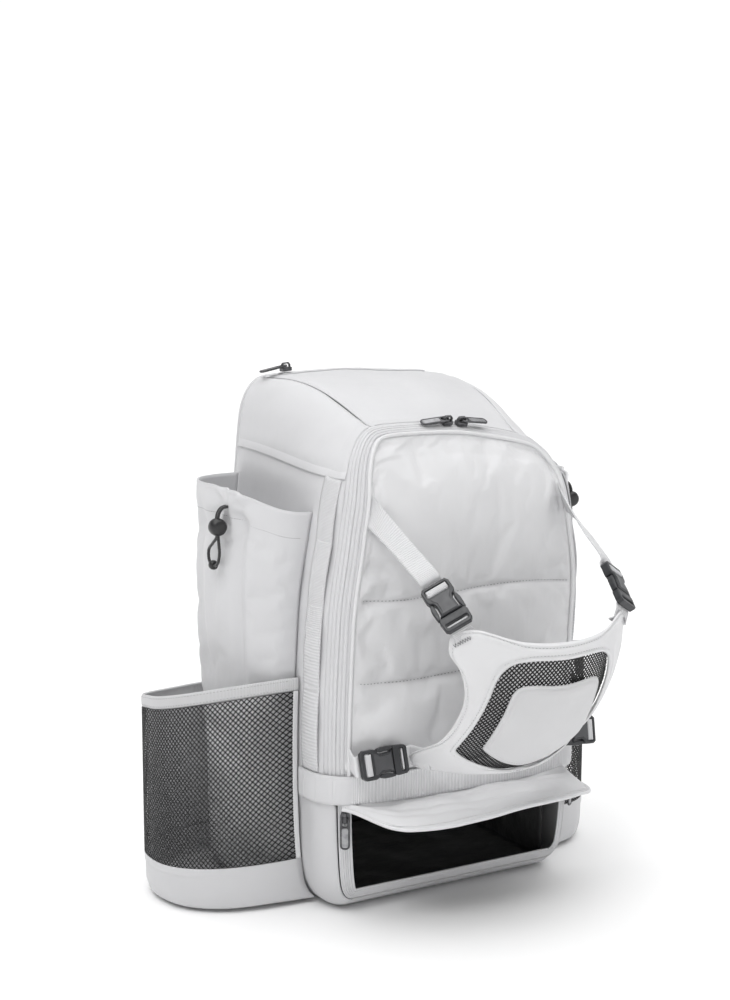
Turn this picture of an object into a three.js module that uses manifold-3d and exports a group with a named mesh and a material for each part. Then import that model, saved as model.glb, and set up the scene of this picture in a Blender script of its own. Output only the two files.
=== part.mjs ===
// Baseball equipment backpack standing on its base, front towards -Y, sizes in millimetres
import * as THREE from 'three';
import { mergeVertices } from 'three/addons/utils/BufferGeometryUtils.js';
import Module from 'manifold-3d';

const wasm = await Module();
wasm.setup();

// Driving sizes
const BACK_Y = 114;
const FRONT_RADIUS = 42;
const WALL = 2.5;
const SEAM_GAP = 0.6;
const TOP_LEAN = 14;
const TOP_ARCH = 13;
const TOP_TILT = { back: 2, front: 9 };
const WEBBING_LOW = 112;
const WEBBING_HIGH = 140;
const WEBBING_THICK = 1.6;
const STRAP_WIDE = 20;
const CORD_WIDE = 3;
const DEGREE = Math.PI / 180;

// Front-view outline of half the body at the back and at the front, bottom centre to top centre
const PROFILE = [
  { step: 0, backX: 0, backZ: 0, frontX: 0, frontZ: 0 },
  { step: 1, backX: 114, backZ: 0, frontX: 112, frontZ: 0 },
  { step: 2, backX: 142, backZ: 28, frontX: 141, frontZ: 28 },
  { step: 3, backX: 147, backZ: 130, frontX: 147, frontZ: 130 },
  { step: 4, backX: 147, backZ: 290, frontX: 147, frontZ: 280 },
  { step: 5, backX: 143, backZ: 392, frontX: 140, frontZ: 352 },
  { step: 6, backX: 138, backZ: 462, frontX: 127, frontZ: 412 },
  { step: 7, backX: 114, backZ: 497, frontX: 90, frontZ: 453 },
  { step: 8, backX: 0, backZ: 506, frontX: 0, frontZ: 464 },
];

// Depth of the front face over the height
const FRONT_FACE = [
  { z: 0, y: -110 },
  { z: 30, y: -115 },
  { z: 130, y: -118 },
  { z: 300, y: -118 },
  { z: 400, y: -110 },
  { z: 456, y: -98 },
];

// Outer reach of the bat sleeves over the height
const SLEEVE_REACH = [
  { z: 0, x: 186 },
  { z: 120, x: 188 },
  { z: 210, x: 194 },
  { z: 300, x: 200 },
  { z: 410, x: 200 },
];
const SLEEVE_FRONT = -50;
const SLEEVE_BACK = 104;
const SLEEVE_ROUND = 2.4;
const SLEEVE_TOP_FRONT = 380;
const SLEEVE_TOP_BACK = 403;

// Upright folds gathered under the drawcord: place along the sleeve, depth, width, lower end
const SLEEVE_FOLDS = [
  { y: -34, depth: 5, wide: 9, low: 230 },
  { y: -6, depth: 4, wide: 8, low: 290 },
  { y: 26, depth: 6, wide: 11, low: 200 },
  { y: 70, depth: 5, wide: 12, low: 240 },
];

// Bottle pockets: the left one is filled out, the right one hangs slack
const POCKET_FRONT = -58;
const POCKET_BACK = 110;
const POCKET_ROUND = 2.4;
const POCKET_REACH = { left: 264, right: 226 };
const MESH_LOW = { front: 48, back: 37 };
const BINDING_LOW = { front: 212, back: 175 };
const BINDING_HIGH = { front: 225, back: 188 };

// Closed bottoms of sleeve and pocket: height at the end seams and between, share of the full reach
const SLEEVE_FLOOR = [
  { endZ: 15, z: 15, share: 0.06 },
  { endZ: 21, z: 12, share: 0.5 },
  { endZ: 28, z: 13, share: 0.86 },
  { endZ: 37, z: 26, share: 1 },
];
const POCKET_FLOOR = [
  { endZ: 7, z: 3, share: 0.12 },
  { endZ: 12, z: 1.2, share: 0.5 },
  { endZ: 18, z: 1.2, share: 0.88 },
  { endZ: 23, z: 5, share: 0.97 },
  { endZ: 29, z: 16, share: 1 },
];

// Helmet flap: centre line from the lower tip upwards, with the sideways bend radius
const FLAP_X = 12;
const FLAP_LINE = [
  { q: -8, y: -180, z: 137, radius: 80 },
  { q: 0, y: -188, z: 143, radius: 80 },
  { q: 31, y: -212, z: 162, radius: 84 },
  { q: 63, y: -234, z: 186, radius: 96 },
  { q: 98, y: -251, z: 216, radius: 109 },
  { q: 126, y: -261, z: 242, radius: 117 },
  { q: 150, y: -265, z: 266, radius: 123 },
  { q: 185, y: -264, z: 301, radius: 132 },
];

// Half outline of the flap and of its mesh window, top centre to bottom centre
const FLAP_EDGE = [
  { outerP: 0, outerQ: 165, windowP: 0, windowQ: 149 },
  { outerP: 44, outerQ: 168, windowP: 40, windowQ: 149 },
  { outerP: 86, outerQ: 179, windowP: 58, windowQ: 145 },
  { outerP: 105, outerQ: 176, windowP: 66, windowQ: 139 },
  { outerP: 110, outerQ: 158, windowP: 71, windowQ: 132 },
  { outerP: 98, outerQ: 139, windowP: 75, windowQ: 121 },
  { outerP: 91, outerQ: 112, windowP: 77, windowQ: 100 },
  { outerP: 93, outerQ: 84, windowP: 78, windowQ: 78 },
  { outerP: 101, outerQ: 56, windowP: 77, windowQ: 58 },
  { outerP: 116, outerQ: 36, windowP: 72, windowQ: 45 },
  { outerP: 122, outerQ: 22, windowP: 62, windowQ: 35 },
  { outerP: 114, outerQ: 8, windowP: 46, windowQ: 24 },
  { outerP: 60, outerQ: 2, windowP: 22, windowQ: 12 },
  { outerP: 0, outerQ: -1, windowP: 0, windowQ: 7 },
];
const PATCH_EDGE = [
  { p: 0, q: 125 },
  { p: 40, q: 126 },
  { p: 49, q: 121 },
  { p: 54, q: 98 },
  { p: 60, q: 58 },
  { p: 54, q: 46 },
  { p: 20, q: 23 },
  { p: 0, q: 16 },
];

// Small helpers
const mix = (a, b, share) => a + (b - a) * share;
const clamp01 = (value) => Math.min(1, Math.max(0, value));

function smooth(low, high, value) {
  const share = clamp01((value - low) / (high - low));
  return share * share * (3 - 2 * share);
}

function vec(x, y, z) {
  return new THREE.Vector3(x, y, z);
}

// Smooth column of a table that never overshoots its rows
function column(table, key, name) {
  const xs = table.map((row) => row[key]);
  const ys = table.map((row) => row[name]);
  const last = xs.length - 1;
  const secant = (i) => (ys[i + 1] - ys[i]) / (xs[i + 1] - xs[i]);
  const slope = xs.map((_, i) => {
    if (i === 0) return secant(0);
    if (i === last) return secant(last - 1);
    const before = secant(i - 1);
    const after = secant(i);
    if (before * after <= 0) return 0;
    return (2 * before * after) / (before + after);
  });
  return (x) => {
    if (x <= xs[0]) return ys[0];
    if (x >= xs[last]) return ys[last];
    const i = xs.findIndex((value, n) => n < last && x < xs[n + 1]);
    const width = xs[i + 1] - xs[i];
    const t = (x - xs[i]) / width;
    const h = t * t * (3 - 2 * t);
    const rise = width * (slope[i] * t * (1 - t) * (1 - t) - slope[i + 1] * t * t * (1 - t));
    return ys[i] * (1 - h) + ys[i + 1] * h + rise;
  };
}

// Closed body from points and triangles, turned so that its faces look outwards
function closedBody(points, triangles) {
  let volume = 0;
  for (const [a, b, c] of triangles) {
    volume += points[a].dot(points[b].clone().cross(points[c]));
  }
  const index = triangles.flatMap(([a, b, c]) => (volume < 0 ? [a, c, b] : [a, b, c]));
  const geometry = new THREE.BufferGeometry();
  const flat = points.flatMap((point) => [point.x, point.y, point.z]);
  geometry.setAttribute('position', new THREE.Float32BufferAttribute(flat, 3));
  geometry.setIndex(index);
  return geometry;
}

// Fabric of even thickness from a grid of points on one face
function sheet(rows, thickness, { ring = false, filled = false, under = null } = {}) {
  const high = rows.length;
  const wide = rows[0].length;
  const at = (i, j) => rows[i][ring ? (j + wide) % wide : Math.min(wide - 1, Math.max(0, j))];
  const points = [];
  const inner = [];
  for (let i = 0; i < high; i += 1) {
    for (let j = 0; j < wide; j += 1) {
      const along = at(i, j + 1).clone().sub(at(i, j - 1));
      const up = at(Math.min(high - 1, i + 1), j).clone().sub(at(Math.max(0, i - 1), j));
      const normal = along.cross(up).normalize();
      points.push(at(i, j).clone());
      inner.push(under ? under[i][j] : at(i, j).clone().addScaledVector(normal, -thickness));
    }
  }
  const shift = points.length;
  const all = points.concat(inner);
  const id = (i, j) => i * wide + ((j + wide) % wide);
  const triangles = [];
  const quad = (a, b, c, d) => triangles.push([a, b, c], [a, c, d]);
  const spans = ring ? wide : wide - 1;
  for (let i = 0; i < high - 1; i += 1) {
    for (let j = 0; j < spans; j += 1) {
      const [a, b, c, d] = [id(i, j), id(i, j + 1), id(i + 1, j + 1), id(i + 1, j)];
      quad(a, b, c, d);
      quad(a + shift, d + shift, c + shift, b + shift);
    }
  }
  const wall = (a, b) => quad(b, a, a + shift, b + shift);
  for (let j = 0; j < spans; j += 1) {
    wall(id(0, j), id(0, j + 1));
    if (!filled) wall(id(high - 1, j + 1), id(high - 1, j));
  }
  if (!ring) {
    for (let i = 0; i < high - 1; i += 1) {
      wall(id(i + 1, 0), id(i, 0));
      wall(id(i, wide - 1), id(i + 1, wide - 1));
    }
  }
  if (filled) {
    const middle = (offset) => {
      const sum = vec(0, 0, 0);
      for (let j = 0; j < wide; j += 1) sum.add(all[id(high - 1, j) + offset]);
      return sum.divideScalar(wide);
    };
    const front = all.push(middle(0)) - 1;
    const behind = all.push(middle(shift)) - 1;
    for (let j = 0; j < wide; j += 1) {
      triangles.push([id(high - 1, j), id(high - 1, j + 1), front]);
      triangles.push([id(high - 1, j + 1) + shift, id(high - 1, j) + shift, behind]);
    }
  }
  return closedBody(all, triangles);
}

function grid(high, wide, place) {
  const rows = [];
  for (let i = 0; i <= high; i += 1) {
    const row = [];
    for (let j = 0; j <= wide; j += 1) row.push(place(j / wide, i / high));
    rows.push(row);
  }
  return rows;
}

// Surface spanned between four edge curves, then shaped point by point
function spanned(low, high, left, right, tall, wide, shape) {
  const corner = [low(0), low(1), high(0), high(1)];
  return grid(tall, wide, (u, v) => {
    const across = left(v).clone().lerp(right(v), u);
    const upward = low(u).clone().lerp(high(u), v);
    const bottom = corner[0].clone().lerp(corner[1], u);
    const base = bottom.lerp(corner[2].clone().lerp(corner[3], u), v);
    return shape(across.add(upward).sub(base), u, v);
  });
}

// Flat band along a path, given the band's sideways direction at each point
function band(path, sideways, wide, thickness) {
  const rows = path.map((point, i) => {
    const half = sideways[i].clone().normalize().multiplyScalar(wide / 2);
    return [point.clone().sub(half), point.clone().add(half)];
  });
  return sheet(rows, thickness);
}

function plain(geometry) {
  const copy = geometry.clone();
  copy.deleteAttribute('normal');
  copy.deleteAttribute('uv');
  return mergeVertices(copy, 1e-4);
}

function toManifold(geometry) {
  const merged = plain(geometry);
  const vertProperties = new Float32Array(merged.attributes.position.array);
  const triVerts = new Uint32Array(merged.index.array);
  return new wasm.Manifold(new wasm.Mesh({ numProp: 3, vertProperties, triVerts }));
}

function fromManifold(body) {
  const mesh = body.getMesh();
  const geometry = new THREE.BufferGeometry();
  geometry.setAttribute('position', new THREE.Float32BufferAttribute(mesh.vertProperties, 3));
  geometry.setIndex(Array.from(mesh.triVerts));
  return geometry;
}

function boxAt(x0, x1, y0, y1, z0, z1) {
  const geometry = new THREE.BoxGeometry(x1 - x0, y1 - y0, z1 - z0);
  geometry.translate((x0 + x1) / 2, (y0 + y1) / 2, (z0 + z1) / 2);
  return geometry;
}

function extruded(outline, depth, holes = [], bevel = 0) {
  const shape = new THREE.Shape(outline);
  for (const hole of holes) shape.holes.push(new THREE.Path(hole));
  const options = { depth: depth - 2 * bevel, steps: 1, bevelEnabled: bevel > 0 };
  options.bevelThickness = bevel;
  options.bevelSize = bevel;
  options.bevelOffset = -bevel;
  options.bevelSegments = 1;
  const geometry = new THREE.ExtrudeGeometry(shape, options);
  geometry.translate(0, 0, bevel);
  return plain(geometry);
}

function roundedRectangle(wide, tall, radius, perCorner = 3) {
  const points = [];
  const centres = [[1, 1], [-1, 1], [-1, -1], [1, -1]];
  centres.forEach(([sx, sy], quarter) => {
    for (let k = 0; k <= perCorner; k += 1) {
      const angle = (quarter + k / perCorner) * Math.PI / 2;
      const x = sx * (wide / 2 - radius) + radius * Math.cos(angle);
      points.push(new THREE.Vector2(x, sy * (tall / 2 - radius) + radius * Math.sin(angle)));
    }
  });
  return points;
}

// Placing frame from an origin, its length direction and its upward direction
function frameAt(origin, lengthwise, upward) {
  const x = lengthwise.clone().normalize();
  const z = upward.clone().addScaledVector(x, -upward.dot(x)).normalize();
  const y = z.clone().cross(x);
  return new THREE.Matrix4().makeBasis(x, y, z).setPosition(origin);
}

// Body surface: depth 0 at the back, 1 where the front rounding starts, 2 on the front face
const profile = {
  backX: column(PROFILE, 'step', 'backX'),
  backZ: column(PROFILE, 'step', 'backZ'),
  frontX: column(PROFILE, 'step', 'frontX'),
  frontZ: column(PROFILE, 'step', 'frontZ'),
};
const frontFace = column(FRONT_FACE, 'z', 'y');
const leanAt = (z) => TOP_LEAN * smooth(150, 470, z);

function outlineAt(step, along) {
  const x = mix(profile.backX(step), profile.frontX(step), along);
  return [x, mix(profile.backZ(step), profile.frontZ(step), along)];
}

function outlineNormal(step, along) {
  const [x0, z0] = outlineAt(Math.max(0, step - 0.05), along);
  const [x1, z1] = outlineAt(Math.min(8, step + 0.05), along);
  const length = Math.hypot(x1 - x0, z1 - z0);
  return [(z1 - z0) / length, -(x1 - x0) / length];
}

function bodyNormal(side, step, depth) {
  const angle = Math.max(0, depth - 1) * 90 * DEGREE;
  const [nx, nz] = outlineNormal(step, Math.min(1, depth));
  return vec(side * nx * Math.cos(angle), -Math.sin(angle), nz * Math.cos(angle));
}

// The top arches from back to front and sits a little higher on the left
function topRaise(x, step, along) {
  const tilt = mix(TOP_TILT.back, TOP_TILT.front, along) * (-x / 100);
  return (TOP_ARCH * Math.sin(Math.PI * along) + tilt) * smooth(5.4, 7, step);
}

function bodyPoint(side, step, depth, lift = 0) {
  const along = Math.min(1, depth);
  const angle = Math.max(0, depth - 1) * 90 * DEGREE;
  const [nx, nz] = outlineNormal(step, along);
  const [x, z] = outlineAt(step, along);
  const inset = FRONT_RADIUS * (1 - Math.cos(angle));
  const start = mix(BACK_Y, frontFace(z) + FRONT_RADIUS, along);
  const y = start - FRONT_RADIUS * Math.sin(angle);
  const raised = z + topRaise(side * x, step, along);
  const point = vec(side * (x - nx * inset) + leanAt(z), y, raised - nz * inset);
  return point.addScaledVector(bodyNormal(side, step, depth), lift);
}

function stepAtHeight(z, along) {
  let low = 1;
  let high = 8;
  for (let n = 0; n < 40; n += 1) {
    const middle = (low + high) / 2;
    if (outlineAt(middle, along)[1] < z) low = middle;
    else high = middle;
  }
  return low;
}

// Point on the body's flank at a given depth and height
function flankPoint(side, y, z, lift = 0) {
  const start = frontFace(z) + FRONT_RADIUS;
  if (y >= start) {
    const along = (BACK_Y - y) / (BACK_Y - start);
    return bodyPoint(side, stepAtHeight(z, along), along, lift);
  }
  const angle = Math.asin(clamp01((start - y) / FRONT_RADIUS));
  return bodyPoint(side, stepAtHeight(z, 1), 1 + angle / (90 * DEGREE), lift);
}

const LEFT = -1;
const RIGHT = 1;
const SIDES = [
  { tag: 'left', side: LEFT },
  { tag: 'right', side: RIGHT },
];

const COLOUR = {
  fabric: 0xd9dade,
  pale: 0xe9eaed,
  webbing: 0xcfd1d6,
  dark: 0x1c1d20,
  plastic: 0x3a3d42,
  metal: 0x55585e,
};

const part = new THREE.Group();
part.name = 'baseball_equipment_backpack';

function addNode(name, geometry, colour, roughness = 0.8, metalness = 0) {
  const material = new THREE.MeshStandardMaterial({ color: colour, roughness, metalness });
  const mesh = new THREE.Mesh(geometry, material);
  mesh.name = name;
  part.add(mesh);
}

// Zip band lines on the front rounding
const zipOuter = (step) => mix(1.3, 1.14, smooth(5.5, 7.2, step));
const zipInner = (step) => mix(1.66, 1.44, smooth(5.5, 7.2, step));
const SHOE_EDGE = 1.51;
const SEAM_STEP = 7.05;
const zipStart = stepAtHeight(WEBBING_LOW + 20, 1);
const lowEnd = stepAtHeight(WEBBING_LOW - 8, 1);

// Side panels with the front edge stepping back above the webbing
for (const { tag, side } of SIDES) {
  const rows = grid(8, 16, (u, v) => {
    const low = u < 0.34;
    const lowStep = mix(1.08, lowEnd, u / 0.3125);
    const highStep = mix(zipStart - 0.03, SEAM_STEP - 0.03, (u - 0.375) / 0.625);
    const step = low ? lowStep : highStep;
    const edge = low ? SHOE_EDGE : zipOuter(step);
    const depth = v < 0.5 ? v * 1.9 : mix(0.95, edge, (v - 0.5) / 0.5);
    return bodyPoint(side, step, Math.max(0.008, depth));
  });
  addNode(`side_panel_${tag}`, sheet(rows, side * WALL), COLOUR.fabric);
}

// Top panel between the two shoulder seams
function acrossTop(u, depth, lift = 0) {
  const side = u < 0.5 ? LEFT : RIGHT;
  const step = mix(SEAM_STEP + 0.03, 8, 1 - Math.abs(u - 0.5) * 2);
  return bodyPoint(side, step, depth, lift);
}
const topRows = grid(6, 8, (u, v) => acrossTop(u, Math.max(0.008, v * zipOuter(8))));
addNode('top_panel', sheet(topRows, -WALL), COLOUR.fabric);

// Bottom panel with its lip turned up at the front
function acrossBottom(u, depth, lift = 0) {
  const side = u < 0.5 ? LEFT : RIGHT;
  return bodyPoint(side, 1.03 * Math.abs(u - 0.5) * 2, depth, lift);
}
const bottomRows = grid(6, 8, (u, v) => acrossBottom(u, Math.max(0.008, v * SHOE_EDGE)));
addNode('bottom_panel', sheet(bottomRows, WALL), COLOUR.fabric);

// Padded back panel closing the rear outline
const BACK_RINGS = [
  { share: 0.98, y: BACK_Y + 0.4 },
  { share: 0.93, y: BACK_Y + 6 },
  { share: 0.5, y: BACK_Y + 7 },
];
const backRows = BACK_RINGS.map(({ share, y }) => {
  const row = [];
  for (let k = 0; k < 32; k += 1) {
    const side = k < 16 ? LEFT : RIGHT;
    const step = k < 16 ? k / 2 : (32 - k) / 2;
    const point = bodyPoint(side, step, 0);
    const x = mix(0, point.x, share);
    row.push(vec(x, y, mix(255, point.z, share)));
  }
  return row;
});
addNode('back_panel', sheet(backRows, 5, { ring: true, filled: true }), COLOUR.fabric);

// Front door inside the zip
const doorEdge = (step) => zipInner(step) + 0.05;
const DOOR_CORNER = 6.6;
const doorBottom = stepAtHeight(WEBBING_LOW + 2, 1);
const doorLow = (v) => mix(doorBottom, DOOR_CORNER, v);
const doorLeft = (v) => bodyPoint(LEFT, doorLow(v), doorEdge(doorLow(v)));
const doorRight = (v) => bodyPoint(RIGHT, doorLow(v), doorEdge(doorLow(v)));
const doorBase = (u) => doorLeft(0).lerp(doorRight(0), u);
function doorTop(u) {
  const side = u < 0.5 ? LEFT : RIGHT;
  const step = mix(DOOR_CORNER, 8, 1 - Math.abs(u - 0.5) * 2);
  return bodyPoint(side, step, doorEdge(step));
}
const doorRows = spanned(doorBase, doorTop, doorLeft, doorRight, 10, 10, (point, u, v) => {
  const crown = Math.sin(u * Math.PI) ** 0.6 * Math.sin(Math.min(1, v * 1.06 + 0.06) * Math.PI) ** 0.5;
  const press = 4 * Math.exp(-(((u - 0.52) / 0.3) ** 2) - (((v - 0.42) / 0.22) ** 2));
  point.y -= 9 * crown - press;
  return point;
});
addNode('front_door', sheet(doorRows, WALL), COLOUR.pale);

// Main zip tape running up the left, over the top and down the right
function alongZip(u, v, lift) {
  const side = u < 0.5 ? LEFT : RIGHT;
  const step = mix(zipStart, 8, 1 - Math.abs(u - 0.5) * 2);
  return bodyPoint(side, step, mix(zipOuter(step) + 0.04, zipInner(step), v), lift);
}
const zipRows = grid(1, 36, (u, v) => alongZip(u, v, -0.2));
addNode('main_zip_tape', sheet(zipRows, -1.8), COLOUR.fabric);

// Zip tape round the shoe opening, down the left, along the lip and up the right
const shoeTop = stepAtHeight(WEBBING_LOW - 9, 1);
function alongShoe(u, depth, lift = 0) {
  const side = u < 0.5 ? LEFT : RIGHT;
  return bodyPoint(side, shoeTop * Math.abs(u - 0.5) * 2, depth, lift);
}
const shoeTapeRows = grid(1, 26, (u, v) => alongShoe(u, mix(SHOE_EDGE + 0.03, 1.72, v), -0.2));
addNode('shoe_zip_tape', sheet(shoeTapeRows, 1.6), COLOUR.pale);

// Horizontal webbing from one pocket round the front to the other
const webPath = [];
for (const y of [-62, -74]) webPath.push((z) => flankPoint(LEFT, y, z, 3.4));
for (const depth of [1.2, 1.4, 1.6, 1.8]) {
  webPath.push((z) => bodyPoint(LEFT, stepAtHeight(z, 1), depth, 3.4));
}
for (const x of [-80, -45, 0, 45, 80]) {
  webPath.push((z) => vec(x, frontFace(z) - 4.6 - 5 * (1 - (x / 110) ** 2), z));
}
for (const depth of [1.8, 1.6, 1.4, 1.2]) {
  webPath.push((z) => bodyPoint(RIGHT, stepAtHeight(z, 1), depth, 3.4));
}
for (const y of [-74, -62]) webPath.push((z) => flankPoint(RIGHT, y, z, 3.4));
const webRows = [WEBBING_LOW, WEBBING_HIGH].map((z) => webPath.map((place) => place(z)));
addNode('lower_webbing', sheet(webRows, WEBBING_THICK), COLOUR.webbing);

// Vertical webbing strips beside the zip
for (const { tag, side } of SIDES) {
  const low = stepAtHeight(WEBBING_HIGH + 1.5, 1);
  const high = stepAtHeight(404, 1);
  const rows = grid(11, 2, (u, v) => bodyPoint(side, mix(low, high, v), mix(0.955, 1.24, u), 2.7));
  addNode(`side_webbing_${tag}`, sheet(rows, -side * WEBBING_THICK), COLOUR.webbing);
}

// Soft pouch standing off the flank: rounded plan between a front and a back line
function pouchPoint(side, pouch, angle, z, share, lift = 0) {
  const { front, back, round, reach } = pouch;
  const middle = (front + back) / 2;
  const cosine = Math.cos(angle);
  const y = middle - (back - front) / 2 * Math.sign(cosine) * Math.abs(cosine) ** (2 / round);
  const clear = SEAM_GAP + 1.2 + 2 * (1 - smooth(0, 40, z));
  const foot = flankPoint(side, Math.min(y, BACK_Y - 2), z, clear);
  const bulge = Math.sin(angle) ** (2 / round) * share;
  const fold = pouch.fold ? pouch.fold(y, z) * Math.sin(angle) : 0;
  const x = side * foot.x;
  const out = Math.max(x, mix(x, reach(z), bulge) - fold) + lift;
  return vec(side * out, y, z);
}

const sleeveReach = column(SLEEVE_REACH, 'z', 'x');
const sleeveTop = (u) => mix(SLEEVE_TOP_FRONT, SLEEVE_TOP_BACK, smooth(0, 0.45, u));
function sleeveFold(y, z) {
  let depth = 0;
  for (const fold of SLEEVE_FOLDS) {
    const beside = Math.exp(-(((y - fold.y) / fold.wide) ** 2));
    depth += fold.depth * beside * smooth(fold.low, fold.low + 60, z) * (1 - smooth(368, 392, z));
  }
  return depth;
}
const sleeve = { front: SLEEVE_FRONT, back: SLEEVE_BACK, round: SLEEVE_ROUND, reach: sleeveReach };
sleeve.fold = sleeveFold;

const POUCH_SPANS = 14;
// Row of a closed bottom, rising towards the seams at its two ends
function floorRow(side, pouch, { endZ, z, share }) {
  const row = [];
  for (let j = 0; j <= POUCH_SPANS; j += 1) {
    const angle = Math.PI * j / POUCH_SPANS;
    const level = mix(endZ, z, Math.abs(Math.sin(angle)) ** 0.4);
    row.push(pouchPoint(side, pouch, angle, level, share));
  }
  return row;
}

// Bat sleeves, open at the top
const SLEEVE_LEVELS = 7;
for (const { tag, side } of SIDES) {
  const rows = SLEEVE_FLOOR.map((floor) => floorRow(side, sleeve, floor));
  for (let i = 1; i <= SLEEVE_LEVELS; i += 1) {
    const row = [];
    for (let j = 0; j <= POUCH_SPANS; j += 1) {
      const z = mix(26, sleeveTop(j / POUCH_SPANS), i / SLEEVE_LEVELS);
      row.push(pouchPoint(side, sleeve, Math.PI * j / POUCH_SPANS, z, 1));
    }
    rows.push(row);
  }
  addNode(`bat_sleeve_${tag}`, sheet(rows, side * 2.2), COLOUR.fabric);
}

// Bottle pockets: solid base, mesh wall and top binding
for (const { tag, side } of SIDES) {
  const reach = () => POCKET_REACH[tag];
  const pocket = { front: POCKET_FRONT, back: POCKET_BACK, round: POCKET_ROUND, reach };
  const level = (ends, u) => mix(ends.front, ends.back, smooth(0, 0.9, u));
  const row = (place) => {
    const points = [];
    for (let j = 0; j <= POUCH_SPANS; j += 1) points.push(place(j / POUCH_SPANS));
    return points;
  };
  const between = (low, high, v) => row((u) => {
    const z = mix(level(low, u), level(high, u), v);
    return pouchPoint(side, pocket, Math.PI * u, z, 1);
  });
  const lowered = { front: MESH_LOW.front - SEAM_GAP, back: MESH_LOW.back - SEAM_GAP };
  const raised = { front: BINDING_LOW.front - SEAM_GAP, back: BINDING_LOW.back - SEAM_GAP };
  const floorRows = POCKET_FLOOR.map((floor) => floorRow(side, pocket, floor));
  const baseRows = floorRows.concat([between(lowered, lowered, 1)]);
  const meshRows = [0, 0.5, 1].map((v) => between(MESH_LOW, raised, v));
  const bindingRows = [0, 1].map((v) => between(BINDING_LOW, BINDING_HIGH, v));
  addNode(`pocket_base_${tag}`, sheet(baseRows, side * 2.2), COLOUR.fabric);
  addNode(`pocket_mesh_${tag}`, sheet(meshRows, side * 1.2), COLOUR.dark);
  addNode(`pocket_binding_${tag}`, sheet(bindingRows, side * 2.6), COLOUR.pale);
}

// Shoe compartment lining, open to the front
const liningOuter = toManifold(boxAt(-116, 116, -88, 104, 10, 106));
const liningInner = toManifold(boxAt(-114.5, 114.5, -120, 102.5, 11.5, 104.5));
addNode('shoe_lining', fromManifold(liningOuter.subtract(liningInner)), COLOUR.dark);

// Shoe flap lifted like an awning
const FLAP_HINGE_Z = WEBBING_LOW - 1.5;
const hingeY = frontFace(FLAP_HINGE_Z) - 4;
const awningBack = (u) => vec(mix(-113, 113, u), hingeY + 3 * Math.abs(2 * u - 1) ** 3, FLAP_HINGE_Z);
function awningEdge(u) {
  const bow = (1 - Math.abs(2 * u - 1) ** 3) ** 0.6;
  const x = mix(-117, 120, u);
  const y = hingeY - 2 - 62 * bow - 26 * u * u;
  return vec(x, y, 98 + 3 * bow - 4 * u + 2 * Math.sin(u * 9) * bow);
}
const awningSide = (end) => (v) => awningBack(end).lerp(awningEdge(end), v);
const awningLeft = awningSide(0);
const awningRight = awningSide(1);
const awningRows = spanned(awningBack, awningEdge, awningLeft, awningRight, 5, 12, (point, u, v) => {
  const arch = Math.sin(u * Math.PI) ** 0.7;
  point.z += 7 * Math.sin(v * Math.PI * 0.9) * arch + 2.5 * Math.sin(u * 16 + v * 3) * v * arch;
  return point;
});
addNode('shoe_flap', sheet(awningRows, -2.2), COLOUR.pale);

// Helmet flap, its mesh window and the patch in the middle
const flapY = column(FLAP_LINE, 'q', 'y');
const flapZ = column(FLAP_LINE, 'q', 'z');
const flapRadius = column(FLAP_LINE, 'q', 'radius');
function flapPoint(p, q, lift = 0) {
  const radius = flapRadius(q);
  const angle = p / radius;
  const reach = radius + lift;
  const y = flapY(q) + radius - reach * Math.cos(angle);
  return vec(FLAP_X + reach * Math.sin(angle), y, flapZ(q));
}

function mirrored(table, keyP, keyQ) {
  const half = table.map((row) => [row[keyP], row[keyQ]]);
  const back = half.slice(1, -1).reverse().map(([p, q]) => [-p, q]);
  return half.concat(back).map(([p, q]) => vec(p, q, 0));
}

function roundOutline(points, count) {
  const curve = new THREE.CatmullRomCurve3(points, true, 'centripetal');
  const outline = [];
  for (let k = 0; k < count; k += 1) outline.push(curve.getPoint(k / count));
  return outline;
}
const flapOuter = roundOutline(mirrored(FLAP_EDGE, 'outerP', 'outerQ'), 48);
const flapWindow = roundOutline(mirrored(FLAP_EDGE, 'windowP', 'windowQ'), 48);
const FLAP_THICK = 2;
const flapFace = (lift) => [0, 0.5, 1].map((share) => flapOuter.map((point, k) => {
  const place = point.clone().lerp(flapWindow[k], share);
  return flapPoint(place.x, place.y, lift);
}));
const flapUnder = flapFace(-FLAP_THICK);
addNode('helmet_flap', sheet(flapFace(0), FLAP_THICK, { ring: true, under: flapUnder }), COLOUR.pale);

function flapDisc(outline, shares, lift) {
  const centre = vec(0, 0, 0);
  for (const point of outline) centre.addScaledVector(point, 1 / outline.length);
  return shares.map((share) => outline.map((point) => {
    const place = centre.clone().lerp(point, share);
    return flapPoint(place.x, place.y, lift);
  }));
}
const meshOutline = roundOutline(mirrored(FLAP_EDGE, 'windowP', 'windowQ'), 26);
const meshDisc = flapDisc(meshOutline, [1.05, 0.6], -6.6);
addNode('helmet_mesh', sheet(meshDisc, 1.2, { ring: true, filled: true }), COLOUR.dark);
const patchOutline = roundOutline(mirrored(PATCH_EDGE, 'p', 'q'), 28);
const patchDisc = flapDisc(patchOutline, [1, 0.55], -0.6);
addNode('helmet_patch', sheet(patchDisc, 1.6, { ring: true, filled: true }), COLOUR.pale);

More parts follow.
